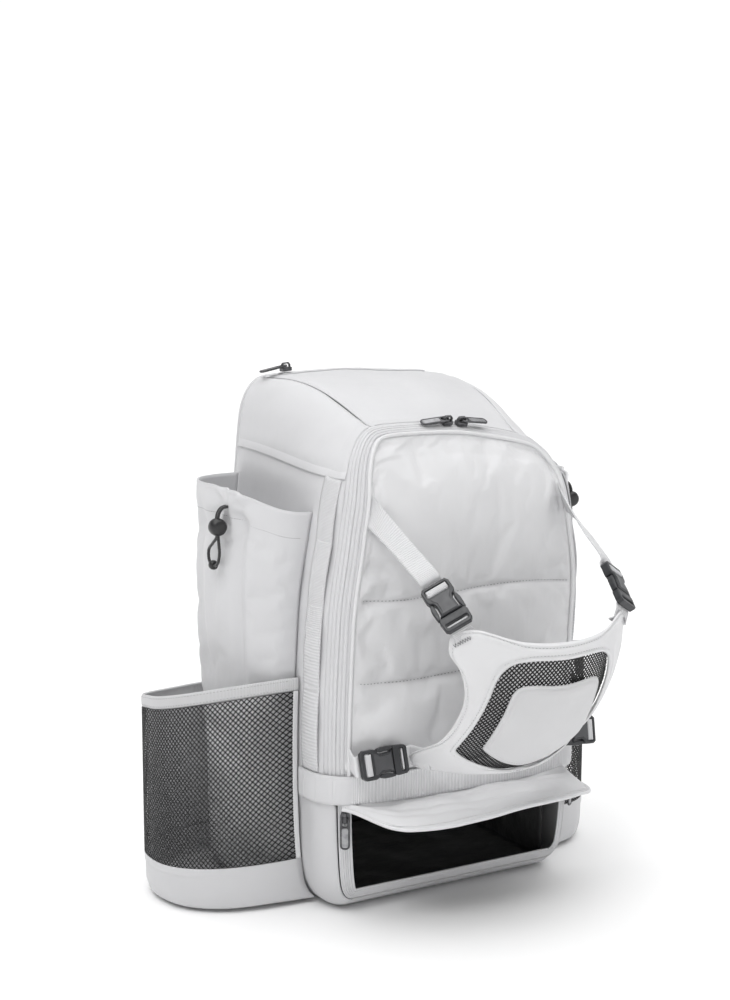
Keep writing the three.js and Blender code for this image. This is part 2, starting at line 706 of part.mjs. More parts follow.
// Fastened side-release buckle, length along x, with a webbing slot at each end
const BUCKLE_LONG = 47;
const BUCKLE_WIDE = 29;
const BUCKLE_THICK = 8;
const SLOT_INSET = 5.5;
function buckleBody() {
  const half = BUCKLE_LONG / 2;
  const edge = BUCKLE_WIDE / 2;
  const upper = [[-half, 11], [-half + 3, edge - 1], [-7, edge], [-4, edge - 3.2], [7, edge - 3.2]];
  upper.push([10, edge - 0.4], [half - 3, edge - 1.5], [half, 11]);
  const lower = upper.slice().reverse().map(([x, y]) => [x, -y]);
  const outline = upper.concat(lower).map(([x, y]) => new THREE.Vector2(x, y)).reverse();
  const slot = (x) => roundedRectangle(3.6, 21.5, 1.2, 1).map((p) => p.add(new THREE.Vector2(x, 0)));
  const holes = [slot(-half + SLOT_INSET), slot(half - SLOT_INSET)];
  const geometry = extruded(outline, BUCKLE_THICK, holes, 1);
  geometry.translate(0, 0, -BUCKLE_THICK / 2);
  return geometry;
}

// Strap sewn at both ends: over the buckle's end bar and down into its slot
function strapToBuckle(start, startAcross, buckleFrame, end) {
  const half = BUCKLE_LONG / 2;
  const local = (x, y, z) => vec(x, y, z).applyMatrix4(buckleFrame);
  const across = vec(0, 1, 0).transformDirection(buckleFrame);
  const top = BUCKLE_THICK / 2 + 0.7;
  const far = [local(end * (half + 9), 0, 1.5), local(end * (half + 1.5), 0, top + 1.2)];
  far.push(local(end * (half - 2), 0, top + 1.7), local(end * (half - 6), 0, top));
  far.push(local(end * (half - 6.4), 0, 0.5));
  const path = [start, start.clone().lerp(far[0], 0.34), start.clone().lerp(far[0], 0.68)].concat(far);
  const sideways = path.map((_, i) => startAcross.clone().lerp(across, Math.min(1, i / 3)));
  return band(path, sideways, STRAP_WIDE, end * WEBBING_THICK);
}

for (const { tag, side } of SIDES) {
  const tab = flapPoint(side * 93, 172, 2.4);
  const anchor = bodyPoint(side, stepAtHeight(402, 1), 1.72, 9);
  const along = anchor.clone().sub(tab).normalize();
  const outward = vec(side * 0.5, -0.72, 0.48);
  const centre = tab.clone().addScaledVector(along, BUCKLE_LONG / 2 + 10).addScaledVector(outward, 7);
  const upperFrame = frameAt(centre, along, outward);
  addNode(`upper_buckle_${tag}`, buckleBody().applyMatrix4(upperFrame), COLOUR.plastic, 0.45);
  const width = vec(0, 1, 0).transformDirection(upperFrame);
  const sewn = bodyPoint(side, stepAtHeight(396, 1), 1.74, 5);
  addNode(`upper_strap_${tag}`, strapToBuckle(sewn, width, upperFrame, 1), COLOUR.webbing);
  const tabEnd = flapPoint(side * 88, 159, 8);
  addNode(`flap_tab_${tag}`, strapToBuckle(tabEnd, width, upperFrame, -1), COLOUR.webbing);

  const armTip = flapPoint(side * 118, 21, 2.6);
  const seam = vec(side * 121, frontFace(153) - 12.5, 153);
  const lowAlong = seam.clone().sub(armTip).normalize();
  const lowOut = vec(side * 0.32, -0.92, 0.2);
  const lowCentre = armTip.clone().addScaledVector(lowAlong, BUCKLE_LONG / 2 + 3);
  lowCentre.addScaledVector(lowOut, 3.5);
  const lowerFrame = frameAt(lowCentre, lowAlong, lowOut);
  addNode(`lower_buckle_${tag}`, buckleBody().applyMatrix4(lowerFrame), COLOUR.plastic, 0.45);
  const lowWidth = vec(0, 1, 0).transformDirection(lowerFrame);
  const lowSewn = bodyPoint(side, stepAtHeight(160, 1), 1.6, 4);
  addNode(`lower_strap_${tag}`, strapToBuckle(lowSewn, lowWidth, lowerFrame, 1), COLOUR.webbing);
}

// Zip slider with an arched bail, x along the zip and z up from the tape
function sliderBody() {
  const outline = [[-5.5, 3.2], [-2, 4.6], [5.5, 4.6], [5.5, -4.6], [-2, -4.6], [-5.5, -3.2]];
  const plate = extruded(outline.map(([x, y]) => new THREE.Vector2(x, y)).reverse(), 3, [], 0.5);
  plate.translate(0, 0, 0.6);
  const arch = [[-5, 3], [-5, 6.2], [-3.2, 8.6], [3.2, 8.6], [5, 6.2], [5, 3]];
  const hollow = [[-3.4, 3.6], [-3.4, 6], [-2.4, 7.2], [2.4, 7.2], [3.4, 6], [3.4, 3.6]];
  const bail = arch.concat(hollow.reverse()).map(([x, z]) => new THREE.Vector2(x, z)).reverse();
  const loop = extruded(bail, 3);
  loop.rotateX(Math.PI / 2);
  loop.translate(0, 1.5, 0);
  return fromManifold(toManifold(plate).add(toManifold(loop)));
}

// Pull lying along +x from its pivot bar at the origin
const PULL_LONG = 31;
function pullBody() {
  const outline = roundedRectangle(PULL_LONG, 9.4, 4, 2);
  const bar = roundedRectangle(6.4, 4.6, 0.8, 1);
  const tip = roundedRectangle(9, 5, 1.6, 1);
  const move = (points, x) => points.map((point) => point.add(new THREE.Vector2(x, 0)));
  const holes = [move(bar, 4.2), move(tip, PULL_LONG - 8)];
  const geometry = extruded(move(outline, PULL_LONG / 2 - 1), 2, holes);
  geometry.translate(0, 0, -1);
  return geometry;
}

const PULL_HEIGHT = 5.4;
const PULL_DROOP = 6 * DEGREE;
function addZipSet(name, origin, lengthwise, upward, droop) {
  const place = frameAt(origin, lengthwise, upward);
  addNode(`${name}_slider`, sliderBody().applyMatrix4(place), COLOUR.metal, 0.4, 0.8);
  const lying = new THREE.Matrix4().makeRotationY(droop).setPosition(0, 0, PULL_HEIGHT);
  addNode(`${name}_pull`, pullBody().applyMatrix4(lying).applyMatrix4(place), COLOUR.metal, 0.4, 0.8);
}

const ZIP_MIDDLE = (zipOuter(8) + zipInner(8)) / 2;
for (const { tag, side } of SIDES) {
  const step = 7.91;
  const origin = bodyPoint(side, step, ZIP_MIDDLE, 0.4);
  const upward = bodyNormal(side, step, ZIP_MIDDLE);
  addZipSet(`main_zip_${tag}`, origin, vec(side, 0, 0), upward, PULL_DROOP);
  const low = stepAtHeight(100, 1);
  const shoeOrigin = bodyPoint(side, low, 1.64, 0.5);
  addZipSet(`shoe_zip_${tag}`, shoeOrigin, vec(0, 0, -1), bodyNormal(side, low, 1.64), 0);
}

// Top pocket zip across the rear of the top panel
const TOP_ZIP_DEPTH = 0.09;
const topZipRows = grid(1, 10, (u, v) => {
  const lift = 1.6;
  return acrossTop(mix(0.08, 0.8, u), TOP_ZIP_DEPTH + mix(-0.035, 0.035, v), lift);
});
addNode('top_zip_tape', sheet(topZipRows, -1), COLOUR.fabric);
const topSliderStep = 7.27;
const topSlider = bodyPoint(LEFT, topSliderStep, TOP_ZIP_DEPTH, 2.9);
const topUpward = bodyNormal(LEFT, topSliderStep, TOP_ZIP_DEPTH);
addZipSet('top_zip', topSlider, vec(-1, 0, -0.1), topUpward, PULL_DROOP);

// Drawcord with lock and end bead hanging from each sleeve hem
const LOCK_Z = 366;
const LOCK_LIFT = 6.8;
// Route of the cord on the sleeve face: place along the sleeve, height, distance off the face
const CORD_ROUTE = [
  { y: -8.8, z: 385, lift: -3.2 },
  { y: -8.8, z: 384, lift: 1.6 },
  { y: -8.8, z: 380.5, lift: 5 },
  { y: -8.8, z: 375, lift: LOCK_LIFT },
  { y: -8.8, z: LOCK_Z, lift: LOCK_LIFT },
  { y: -8.8, z: 356, lift: LOCK_LIFT },
  { y: -9.6, z: 349, lift: 6.6 },
  { y: -9.6, z: 341, lift: 6.2 },
  { y: -6, z: 332, lift: 6 },
  { y: 0, z: 328, lift: 6 },
  { y: 5, z: 328, lift: 6 },
  { y: 10, z: 328, lift: 6 },
  { y: 15, z: 333, lift: 6 },
  { y: 14, z: 342, lift: 6.2 },
  { y: 3, z: 350, lift: 6.6 },
  { y: -5.2, z: 356.5, lift: LOCK_LIFT },
  { y: -5.2, z: LOCK_Z, lift: LOCK_LIFT },
  { y: -5.2, z: 375, lift: LOCK_LIFT },
  { y: -5.2, z: 380.5, lift: 5 },
  { y: -5.2, z: 384, lift: 1.6 },
  { y: -5.2, z: 385, lift: -3.2 },
];
const CORD_BASE_X = { left: 199.4, right: 201 };
function cordPlace(side, tag, { y, z, lift }) {
  return vec(side * (CORD_BASE_X[tag] + lift), y, z);
}
for (const { tag, side } of SIDES) {
  const curve = new THREE.CatmullRomCurve3(CORD_ROUTE.map((row) => cordPlace(side, tag, row)), false);
  const circle = [];
  for (let k = 0; k < 8; k += 1) {
    const angle = (k / 8) * 2 * Math.PI;
    circle.push(new THREE.Vector2(Math.cos(angle), Math.sin(angle)).multiplyScalar(CORD_WIDE / 2));
  }
  const tube = new THREE.ExtrudeGeometry(new THREE.Shape(circle), { steps: 28, extrudePath: curve });
  addNode(`drawcord_${tag}`, plain(tube), COLOUR.dark);

  const barrel = [[0, -7.5], [6.5, -7.5], [8.6, -5], [8.6, 4], [7, 6.5], [5.4, 6.5], [5.4, 9.5], [0, 9.5]];
  const profileLine = barrel.map(([x, y]) => new THREE.Vector2(x, y));
  const turned = new THREE.LatheGeometry(profileLine, 12);
  const tunnel = boxAt(-2.6, 2.6, -4.4, 4.4, -20, 20);
  const lockPlace = cordPlace(side, tag, { y: -7, z: LOCK_Z, lift: LOCK_LIFT });
  const lockFrame = frameAt(lockPlace, vec(1, 0, 0), vec(0, 0, 1));
  const hollowed = toManifold(turned).subtract(toManifold(tunnel));
  addNode(`cord_lock_${tag}`, fromManifold(hollowed).applyMatrix4(lockFrame), COLOUR.dark, 0.5);

  const ring = [[2.1, -3.5], [3.6, -3.5], [4.6, -1.6], [4.6, 1.6], [3.6, 3.5], [2.1, 3.5], [2.1, -3.5]];
  const bead = new THREE.LatheGeometry(ring.map(([x, y]) => new THREE.Vector2(x, y)), 10);
  const beadPlace = cordPlace(side, tag, { y: 5, z: 328, lift: 6 });
  bead.applyMatrix4(new THREE.Matrix4().setPosition(beadPlace));
  addNode(`cord_end_${tag}`, plain(bead), COLOUR.dark, 0.5);
}

// Padded shoulder straps behind the back panel, with webbing down to the lower corners
const STRAP_LINE = [
  { x: 64, y: 131.5, z: 462 },
  { x: 66, y: 152, z: 457 },
  { x: 70, y: 168, z: 420 },
  { x: 76, y: 174, z: 360 },
  { x: 84, y: 170, z: 290 },
  { x: 92, y: 158, z: 220 },
  { x: 98, y: 146, z: 168 },
];
for (const { tag, side } of SIDES) {
  const path = STRAP_LINE.map(({ x, y, z }) => vec(side * x, y, z));
  const smoothPath = new THREE.CatmullRomCurve3(path).getPoints(12);
  const sideways = smoothPath.map(() => vec(1, 0, side * 0.12));
  const rows = smoothPath.map((point, i) => {
    const half = sideways[i].clone().normalize().multiplyScalar(mix(33, 26, i / 12));
    return [-1, 0, 1].map((s) => point.clone().addScaledVector(half, s).add(vec(0, -2 * s * s, 0)));
  });
  addNode(`shoulder_strap_${tag}`, sheet(rows, 9), COLOUR.fabric);
  const webLine = [vec(side * 99, 139, 162), vec(side * 106, 132, 110), vec(side * 112, 123.6, 52)];
  const webAcross = webLine.map(() => vec(1, 0, side * 0.15));
  addNode(`shoulder_webbing_${tag}`, band(webLine, webAcross, 25, WEBBING_THICK), COLOUR.webbing);
}

// Haul loop on the back panel below the top edge
const LOOP_LINE = [
  { x: -26, y: 124.5, z: 446 },
  { x: -25, y: 134, z: 452 },
  { x: -18, y: 147, z: 458 },
  { x: 0, y: 152, z: 461 },
  { x: 18, y: 147, z: 458 },
  { x: 25, y: 134, z: 452 },
  { x: 26, y: 124.5, z: 446 },
];
const loopPath = new THREE.CatmullRomCurve3(LOOP_LINE.map(({ x, y, z }) => vec(x, y, z))).getPoints(14);
addNode('haul_loop', band(loopPath, loopPath.map(() => vec(0, 0, 1)), 24, 2.4), COLOUR.webbing);

export default part;
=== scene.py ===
# Baseball equipment backpack dressed in fabric, webbing, mesh and moulded trim, front towards -Y
import math

import bmesh
import bpy
from mathutils import Matrix, Vector, noise


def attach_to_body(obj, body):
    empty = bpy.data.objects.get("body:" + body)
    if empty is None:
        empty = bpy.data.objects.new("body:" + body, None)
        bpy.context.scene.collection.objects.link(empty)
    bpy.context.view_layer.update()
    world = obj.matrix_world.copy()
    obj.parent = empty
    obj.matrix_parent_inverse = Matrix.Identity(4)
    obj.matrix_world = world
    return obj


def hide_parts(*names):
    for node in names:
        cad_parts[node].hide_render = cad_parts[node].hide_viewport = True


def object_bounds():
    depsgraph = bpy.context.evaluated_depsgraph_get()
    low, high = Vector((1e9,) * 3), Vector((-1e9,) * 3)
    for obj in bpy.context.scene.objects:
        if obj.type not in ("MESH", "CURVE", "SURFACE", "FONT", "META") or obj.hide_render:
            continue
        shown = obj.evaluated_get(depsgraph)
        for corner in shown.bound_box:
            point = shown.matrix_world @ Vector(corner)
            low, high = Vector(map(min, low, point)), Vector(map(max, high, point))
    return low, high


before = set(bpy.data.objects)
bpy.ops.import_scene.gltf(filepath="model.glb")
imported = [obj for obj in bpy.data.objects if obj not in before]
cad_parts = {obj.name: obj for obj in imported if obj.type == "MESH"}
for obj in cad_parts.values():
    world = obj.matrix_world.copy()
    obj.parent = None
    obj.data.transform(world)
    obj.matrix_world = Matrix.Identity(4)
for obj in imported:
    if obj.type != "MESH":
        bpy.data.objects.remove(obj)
cad_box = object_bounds()

# Camera first, at the photograph's viewing angle
camera_data = bpy.data.cameras.new("camera")
camera_data.lens = 57.6
camera_data.sensor_width = 36.0
camera = bpy.data.objects.new("camera", camera_data)
camera.location = (-0.8312, -1.3676, 0.588)
camera.rotation_euler = (math.radians(82.5), 0.0, math.radians(-30.0))
bpy.context.scene.collection.objects.link(camera)
bpy.context.scene.camera = camera

# Driving sizes in millimetres, the same as the solids
MM = 0.001
LEFT = -1
RIGHT = 1
SIDES = (("left", LEFT), ("right", RIGHT))
BACK_Y = 114
FRONT_RADIUS = 42
TOP_LEAN = 14
TOP_ARCH = 13
TOP_TILT_BACK = 2
TOP_TILT_FRONT = 9
WEBBING_LOW = 112
WEBBING_HIGH = 140
STRAP_WIDE = 20
CORD_WIDE = 3

# Thickness of the sewn pieces in millimetres
CLOTH_WALL = 2.2
POUCH_WALL = 2.0
TAPE_WALL = 1.4
WEBBING_WALL = 1.6


# Tables of the bag's own shapes
def table(names, *rows):
    """Rows of numbers with named columns."""
    return [dict(zip(names.split(), row)) for row in rows]


PROFILE = table(
    "step back_x back_z front_x front_z",
    (0, 0, 0, 0, 0),
    (1, 114, 0, 112, 0),
    (2, 142, 28, 141, 28),
    (3, 147, 130, 147, 130),
    (4, 147, 290, 147, 280),
    (5, 143, 392, 140, 352),
    (6, 138, 462, 127, 412),
    (7, 114, 497, 90, 453),
    (8, 0, 506, 0, 464),
)
FRONT_FACE = table("z y", (0, -110), (30, -115), (130, -118), (300, -118), (400, -110), (456, -98))
SLEEVE_REACH = table("z x", (0, 186), (120, 188), (210, 194), (300, 200), (410, 200))
SLEEVE_ENDS = (-50, 104)
POUCH_ROUND = 2.4
SLEEVE_TOP_FRONT = 380
SLEEVE_TOP_BACK = 403
SLEEVE_FOLDS = table(
    "y depth wide low",
    (-20, 7, 6, 130),
    (-41, 5, 4.5, 90),
    (16, 4, 9, 250),
    (48, 5, 12, 180),
    (80, 4, 10, 230),
)
SLEEVE_FLOOR = table(
    "row end_z z share",
    (0, 15, 15, 0.06),
    (1, 21, 12, 0.5),
    (2, 28, 13, 0.86),
    (3, 37, 26, 1),
)
POCKET_ENDS = (-58, 110)
POCKET_REACH = {"left": 264, "right": 226}
POCKET_FLOOR = table(
    "row end_z z share",
    (0, 7, 3, 0.12),
    (1, 12, 1.2, 0.5),
    (2, 18, 1.2, 0.88),
    (3, 23, 5, 0.97),
    (4, 29, 16, 1),
)
MESH_LOW = (48, 37)
BINDING_LOW = (212, 175)
BINDING_HIGH = (225, 188)
FLAP_X = 12
FLAP_LINE = table(
    "q y z radius",
    (-8, -180, 137, 80),
    (0, -188, 143, 80),
    (31, -212, 162, 84),
    (63, -234, 186, 96),
    (98, -251, 216, 109),
    (126, -261, 242, 117),
    (150, -265, 266, 123),
    (185, -264, 301, 132),
)
FLAP_EDGE = table(
    "outer_p outer_q window_p window_q",
    (0, 165, 0, 149),
    (44, 168, 37, 150),
    (86, 179, 51, 148),
    (105, 176, 60, 142),
    (110, 158, 65, 133),
    (98, 139, 68, 119),
    (91, 112, 71, 99),
    (93, 84, 75, 78),
    (101, 56, 79, 58),
    (116, 36, 79.5, 48),
    (122, 22, 73, 41),
    (114, 8, 48, 25),
    (60, 2, 22, 11),
    (0, -1, 0, 7),
)
PATCH_EDGE = table(
    "p q", (0, 125), (41, 127), (48, 122), (52, 98), (57, 62), (57, 54), (51, 47), (20, 23.5), (0, 16)
)


# Small helpers
def mix(a, b, share):
    return a + (b - a) * share


def smooth(low, high, value):
    share = min(1.0, max(0.0, (value - low) / (high - low)))
    return share * share * (3 - 2 * share)


def hump(value, middle, wide):
    return math.exp(-(((value - middle) / wide) ** 2))


def power(value, exponent):
    return max(0.0, value) ** exponent


def halved(low, high, is_below, rounds):
    """Place between low and high up to which is_below holds, found by halving."""
    for _ in range(rounds):
        middle = (low + high) / 2
        if is_below(middle):
            low = middle
        else:
            high = middle
    return low


def column(rows, key, name, samples=600):
    """Smooth column of a table that never overshoots its rows, kept as evenly spaced samples."""
    xs = [row[key] for row in rows]
    ys = [row[name] for row in rows]
    last = len(xs) - 1
    secant = [(ys[i + 1] - ys[i]) / (xs[i + 1] - xs[i]) for i in range(last)]
    slope = [secant[0]]
    for i in range(1, last):
        before, after = secant[i - 1], secant[i]
        slope.append(0.0 if before * after <= 0 else 2 * before * after / (before + after))
    slope.append(secant[last - 1])

    def exact(x):
        i = 0
        while i < last - 1 and x >= xs[i + 1]:
            i += 1
        width = xs[i + 1] - xs[i]
        t = (x - xs[i]) / width
        h = t * t * (3 - 2 * t)
        rise = width * (slope[i] * t * (1 - t) ** 2 - slope[i + 1] * t * t * (1 - t))
        return ys[i] * (1 - h) + ys[i + 1] * h + rise

    low, high = xs[0], xs[last]
    kept = [exact(mix(low, high, k / samples)) for k in range(samples + 1)]

    def value(x):
        place = min(1.0, max(0.0, (x - low) / (high - low))) * samples
        k = min(int(place), samples - 1)
        return mix(kept[k], kept[k + 1], place - k)

    return value


def smooth_path(points, closed=False):
    """Function of a share from 0 to 1 that runs smoothly through the points."""
    count = len(points)
    spans = count if closed else count - 1

    def at(k):
        return points[k % count] if closed else points[min(count - 1, max(0, k))]

    def place(share):
        t = min(max(share, 0.0), 1.0) * spans
        k = min(int(t), spans - 1)
        t -= k
        a, b, c, d = at(k - 1), at(k), at(k + 1), at(k + 2)
        straight = (c - a) * t
        square = (2 * a - 5 * b + 4 * c - d) * t ** 2
        cube = (3 * b - a - 3 * c + d) * t ** 3
        return 0.5 * (2 * b + straight + square + cube)

    return place


def rounded_loop(points, count):
    """Closed centripetal curve through the points, as a list of count places."""
    total = len(points)
    loop = []
    for n in range(count):
        t = n / count * total
        k = int(t)
        t -= k
        p0, p1, p2, p3 = (points[(k + m) % total] for m in (-1, 0, 1, 2))
        d0 = max(1e-4, (p1 - p0).length) ** 0.5
        d1 = max(1e-4, (p2 - p1).length) ** 0.5
        d2 = max(1e-4, (p3 - p2).length) ** 0.5
        m1 = ((p1 - p0) / d0 - (p2 - p0) / (d0 + d1) + (p2 - p1) / d1) * d1
        m2 = ((p2 - p1) / d1 - (p3 - p1) / (d1 + d2) + (p3 - p2) / d2) * d1
        c2 = -3 * p1 + 3 * p2 - 2 * m1 - m2
        c3 = 2 * p1 - 2 * p2 + m1 + m2
        loop.append(p1 + m1 * t + c2 * t ** 2 + c3 * t ** 3)
    return loop


# Body surface: depth 0 at the back, 1 where the front rounding starts, 2 on the front face
profile = {name: column(PROFILE, "step", name) for name in ("back_x", "back_z", "front_x", "front_z")}
front_face = column(FRONT_FACE, "z", "y")
MIDDLE_STEP = 8
CROWN_ROUND = 0.3


def outline_at(step, along):
    x = mix(profile["back_x"](step), profile["front_x"](step), along)
    away = MIDDLE_STEP - step
    crown = step
    if away < CROWN_ROUND:
        crown = MIDDLE_STEP - (CROWN_ROUND / 2 + away * away / (2 * CROWN_ROUND))
    return x, mix(profile["back_z"](crown), profile["front_z"](crown), along)


def outline_normal(step, along):
    x0, z0 = outline_at(max(0, step - 0.05), along)
    x1, z1 = outline_at(min(MIDDLE_STEP, step + 0.05), along)
    length = math.hypot(x1 - x0, z1 - z0)
    return (z1 - z0) / length, -(x1 - x0) / length


def body_normal(side, step, depth):
    angle = max(0, depth - 1) * math.pi / 2
    nx, nz = outline_normal(step, min(1, depth))
    return Vector((side * nx * math.cos(angle), -math.sin(angle), nz * math.cos(angle)))


def lean_at(z):
    return TOP_LEAN * smooth(150, 470, z)


def top_raise(x, step, along):
    tilt = mix(TOP_TILT_BACK, TOP_TILT_FRONT, along) * (-x / 100)
    return (TOP_ARCH * math.sin(math.pi * along) + tilt) * smooth(5.4, 7, step)


def body_point(side, step, depth, lift=0.0):
    along = min(1, depth)
    angle = max(0, depth - 1) * math.pi / 2
    nx, nz = outline_normal(step, along)
    x, z = outline_at(step, along)
    inset = FRONT_RADIUS * (1 - math.cos(angle))
    start = mix(BACK_Y, front_face(z) + FRONT_RADIUS, along)
    y = start - FRONT_RADIUS * math.sin(angle)
    raised = z + top_raise(side * x, step, along)
    point = Vector((side * (x - nx * inset) + lean_at(z), y, raised - nz * inset))
    return point + body_normal(side, step, depth) * lift


def step_at_height(z, along):
    return halved(1.0, MIDDLE_STEP, lambda step: outline_at(step, along)[1] < z, 20)


def flank_point(side, y, z, lift=0.0):
    start = front_face(z) + FRONT_RADIUS
    if y >= start:
        along = (BACK_Y - y) / (BACK_Y - start)
        return body_point(side, step_at_height(z, along), along, lift)
    angle = math.asin(min(1.0, (start - y) / FRONT_RADIUS))
    return body_point(side, step_at_height(z, 1), 1 + angle / (math.pi / 2), lift)


def side_of(u):
    return LEFT if u < 0.5 else RIGHT


def from_middle(u):
    """0 in the middle of a panel and 1 at both its ends."""
    return abs(u - 0.5) * 2


def zip_outer(step):
    return mix(1.3, 1.14, smooth(5.5, 7.2, step))


def zip_inner(step):
    return mix(1.66, 1.44, smooth(5.5, 7.2, step))


SHOE_EDGE = 1.51
SEAM_STEP = 7.05
SEAM_GAP = 0.012
REAR_SEAM = 0.008
UNDER_ZIP = 0.02
ZIP_START = step_at_height(WEBBING_LOW + 20, 1)


# Materials
CLOUD_LOW = 0.3
CLOUD_HIGH = 0.7


def bands_scale(period):
    """Scale of a band texture whose bands repeat every period metres."""
    return 0.314159 / period


class Finish:
    """A procedural finish on one shader, with helpers that add its layers."""

    def __init__(self, name, colour, roughness):
        self.material = bpy.data.materials.new(name)
        self.material.use_nodes = True
        tree = self.material.node_tree
        self.nodes = tree.nodes
        self.links = tree.links
        self.shader = self.nodes["Principled BSDF"]
        self.set("Base Color", (*colour, 1))
        self.set("Roughness", roughness)
        self.coordinates = self.nodes.new("ShaderNodeTexCoord")
        self.heights = []

    def set(self, socket, value):
        self.shader.inputs[socket].default_value = value

    def add(self, kind, **values):
        node = self.nodes.new(kind)
        for name, value in values.items():
            setattr(node, name, value)
        return node

    def cloud(self, scale, detail=3.0):
        texture = self.add("ShaderNodeTexNoise")
        texture.inputs["Scale"].default_value = scale
        texture.inputs["Detail"].default_value = detail
        self.links.new(self.coordinates.outputs["Object"], texture.inputs["Vector"])
        return texture.outputs["Fac"]

    def bands(self, direction, period, where="UV"):
        texture = self.add("ShaderNodeTexWave", bands_direction=direction)
        texture.inputs["Scale"].default_value = bands_scale(period)
        self.links.new(self.coordinates.outputs[where], texture.inputs["Vector"])
        return texture.outputs["Fac"]

    def math(self, operation, first, second):
        node = self.add("ShaderNodeMath", operation=operation)
        for k, value in enumerate((first, second)):
            if isinstance(value, (int, float)):
                node.inputs[k].default_value = value
            else:
                self.links.new(value, node.inputs[k])
        return node.outputs[0]

    def spread(self, value, low, high):
        node = self.add("ShaderNodeMapRange")
        sockets = (("From Min", CLOUD_LOW), ("From Max", CLOUD_HIGH), ("To Min", low), ("To Max", high))
        for name, number in sockets:
            node.inputs[name].default_value = number
        self.links.new(value, node.inputs["Value"])
        return node.outputs["Result"]

    def tint(self, factor, colour_low, colour_high):
        ramp = self.add("ShaderNodeValToRGB")
        ramp.color_ramp.elements[0].position = CLOUD_LOW
        ramp.color_ramp.elements[1].position = CLOUD_HIGH
        ramp.color_ramp.elements[0].color = (*colour_low, 1)
        ramp.color_ramp.elements[1].color = (*colour_high, 1)
        self.links.new(factor, ramp.inputs["Fac"])
        self.links.new(ramp.outputs["Color"], self.shader.inputs["Base Color"])

    def rough(self, factor, low, high):
        self.links.new(self.spread(factor, low, high), self.shader.inputs["Roughness"])

    def raise_by(self, height, strength, distance):
        node = self.add("ShaderNodeBump")
        node.inputs["Strength"].default_value = strength
        node.inputs["Distance"].default_value = distance
        self.links.new(height, node.inputs["Height"])
        if self.heights:
            self.links.new(self.heights[-1], node.inputs["Normal"])
        self.heights.append(node.outputs["Normal"])
        self.links.new(node.outputs["Normal"], self.shader.inputs["Normal"])


def shade(colour, factor):
    return tuple(min(1.0, channel * factor) for channel in colour)


def woven(name, colour, thread, roughness=0.62, weave=0.25, sheen=0.12):
    finish = Finish(name, colour, roughness)
    finish.set("Sheen Weight", sheen)
    finish.set("Sheen Roughness", 0.5)
    finish.set("Specular IOR Level", 0.35)
    warp = finish.bands("X", thread)
    weft = finish.bands("Y", thread)
    cross = finish.math("MAXIMUM", warp, weft)
    finish.raise_by(cross, weave, 0.0002)
    finish.raise_by(finish.cloud(60.0, 4.0), 0.12, 0.002)
    broad = finish.cloud(9.0, 4.0)
    finish.tint(broad, shade(colour, 0.955), shade(colour, 1.025))
    finish.rough(finish.cloud(160.0, 2.0), roughness - 0.07, roughness + 0.08)
    return finish.material


def ribbed(name, colour, rib, direction="X"):
    finish = Finish(name, colour, 0.68)
    finish.set("Sheen Weight", 0.2)
    finish.set("Specular IOR Level", 0.3)
    ribs = finish.bands(direction, rib)
    thread = finish.bands("Y" if direction == "X" else "X", 0.0008)
    finish.raise_by(ribs, 0.55, 0.0007)
    finish.raise_by(thread, 0.25, 0.0002)
    # The rib grooves are painted darker as painted shade, with random tone from a cloud mixed in
    uneven = finish.math("MULTIPLY", finish.cloud(40.0), 0.35)
    groove = finish.math("ADD", finish.math("MULTIPLY", ribs, 0.55), uneven)
    finish.tint(groove, shade(colour, 0.91), shade(colour, 1.03))
    return finish.material


def moulded(name, colour, roughness):
    finish = Finish(name, colour, roughness)
    finish.set("Coat Weight", 0.08)
    finish.set("Coat Roughness", 0.35)
    finish.raise_by(finish.cloud(1400.0, 2.0), 0.12, 0.0002)
    finish.tint(finish.cloud(55.0, 3.0), shade(colour, 0.85), shade(colour, 1.2))
    finish.rough(finish.cloud(220.0, 3.0), roughness - 0.06, roughness + 0.12)
    return finish.material


def gunmetal(name, colour, roughness):
    finish = Finish(name, colour, roughness)
    finish.set("Metallic", 0.85)
    finish.tint(finish.cloud(180.0, 3.0), shade(colour, 0.7), shade(colour, 1.25))
    finish.rough(finish.cloud(420.0, 3.0), roughness - 0.08, roughness + 0.14)
    finish.raise_by(finish.cloud(900.0, 2.0), 0.15, 0.0002)
    return finish.material


def lining_cloth(name, colour):
    finish = Finish(name, colour, 0.55)
    finish.set("Sheen Weight", 0.3)
    finish.raise_by(finish.cloud(38.0, 5.0), 0.55, 0.006)
    finish.raise_by(finish.bands("X", 0.0012, "Object"), 0.2, 0.0002)
    finish.tint(finish.cloud(20.0, 4.0), shade(colour, 0.7), shade(colour, 1.7))
    return finish.material


PALE = (0.70, 0.70, 0.71)
GREY = (0.62, 0.62, 0.632)
DARK = (0.012, 0.012, 0.013)
body_cloth = woven("body cloth", GREY, 0.0007)
pale_cloth = woven("pale coated cloth", PALE, 0.0006, roughness=0.5, weave=0.12)
# The patch is the pale cloth darkened, as painted shade for a patch that faces down
patch_cloth_painted_shade = woven("patch cloth with painted shade", shade(PALE, 0.85), 0.0006, roughness=0.52, weave=0.15)
door_cloth = woven("door cloth", shade(PALE, 0.97), 0.0007, roughness=0.55, weave=0.2)
base_cloth = woven("coated base cloth", shade(GREY, 0.93), 0.0009, roughness=0.48, weave=0.12)
tape_cloth = woven("zip tape", shade(GREY, 1.02), 0.0009, roughness=0.66, weave=0.5)
# The lower webbing is brightened past the other webbing, as painted light against the shade under the
# helmet flap
webbing_cloth_painted_light = ribbed("ribbed webbing", shade(GREY, 1.2), 0.0019)
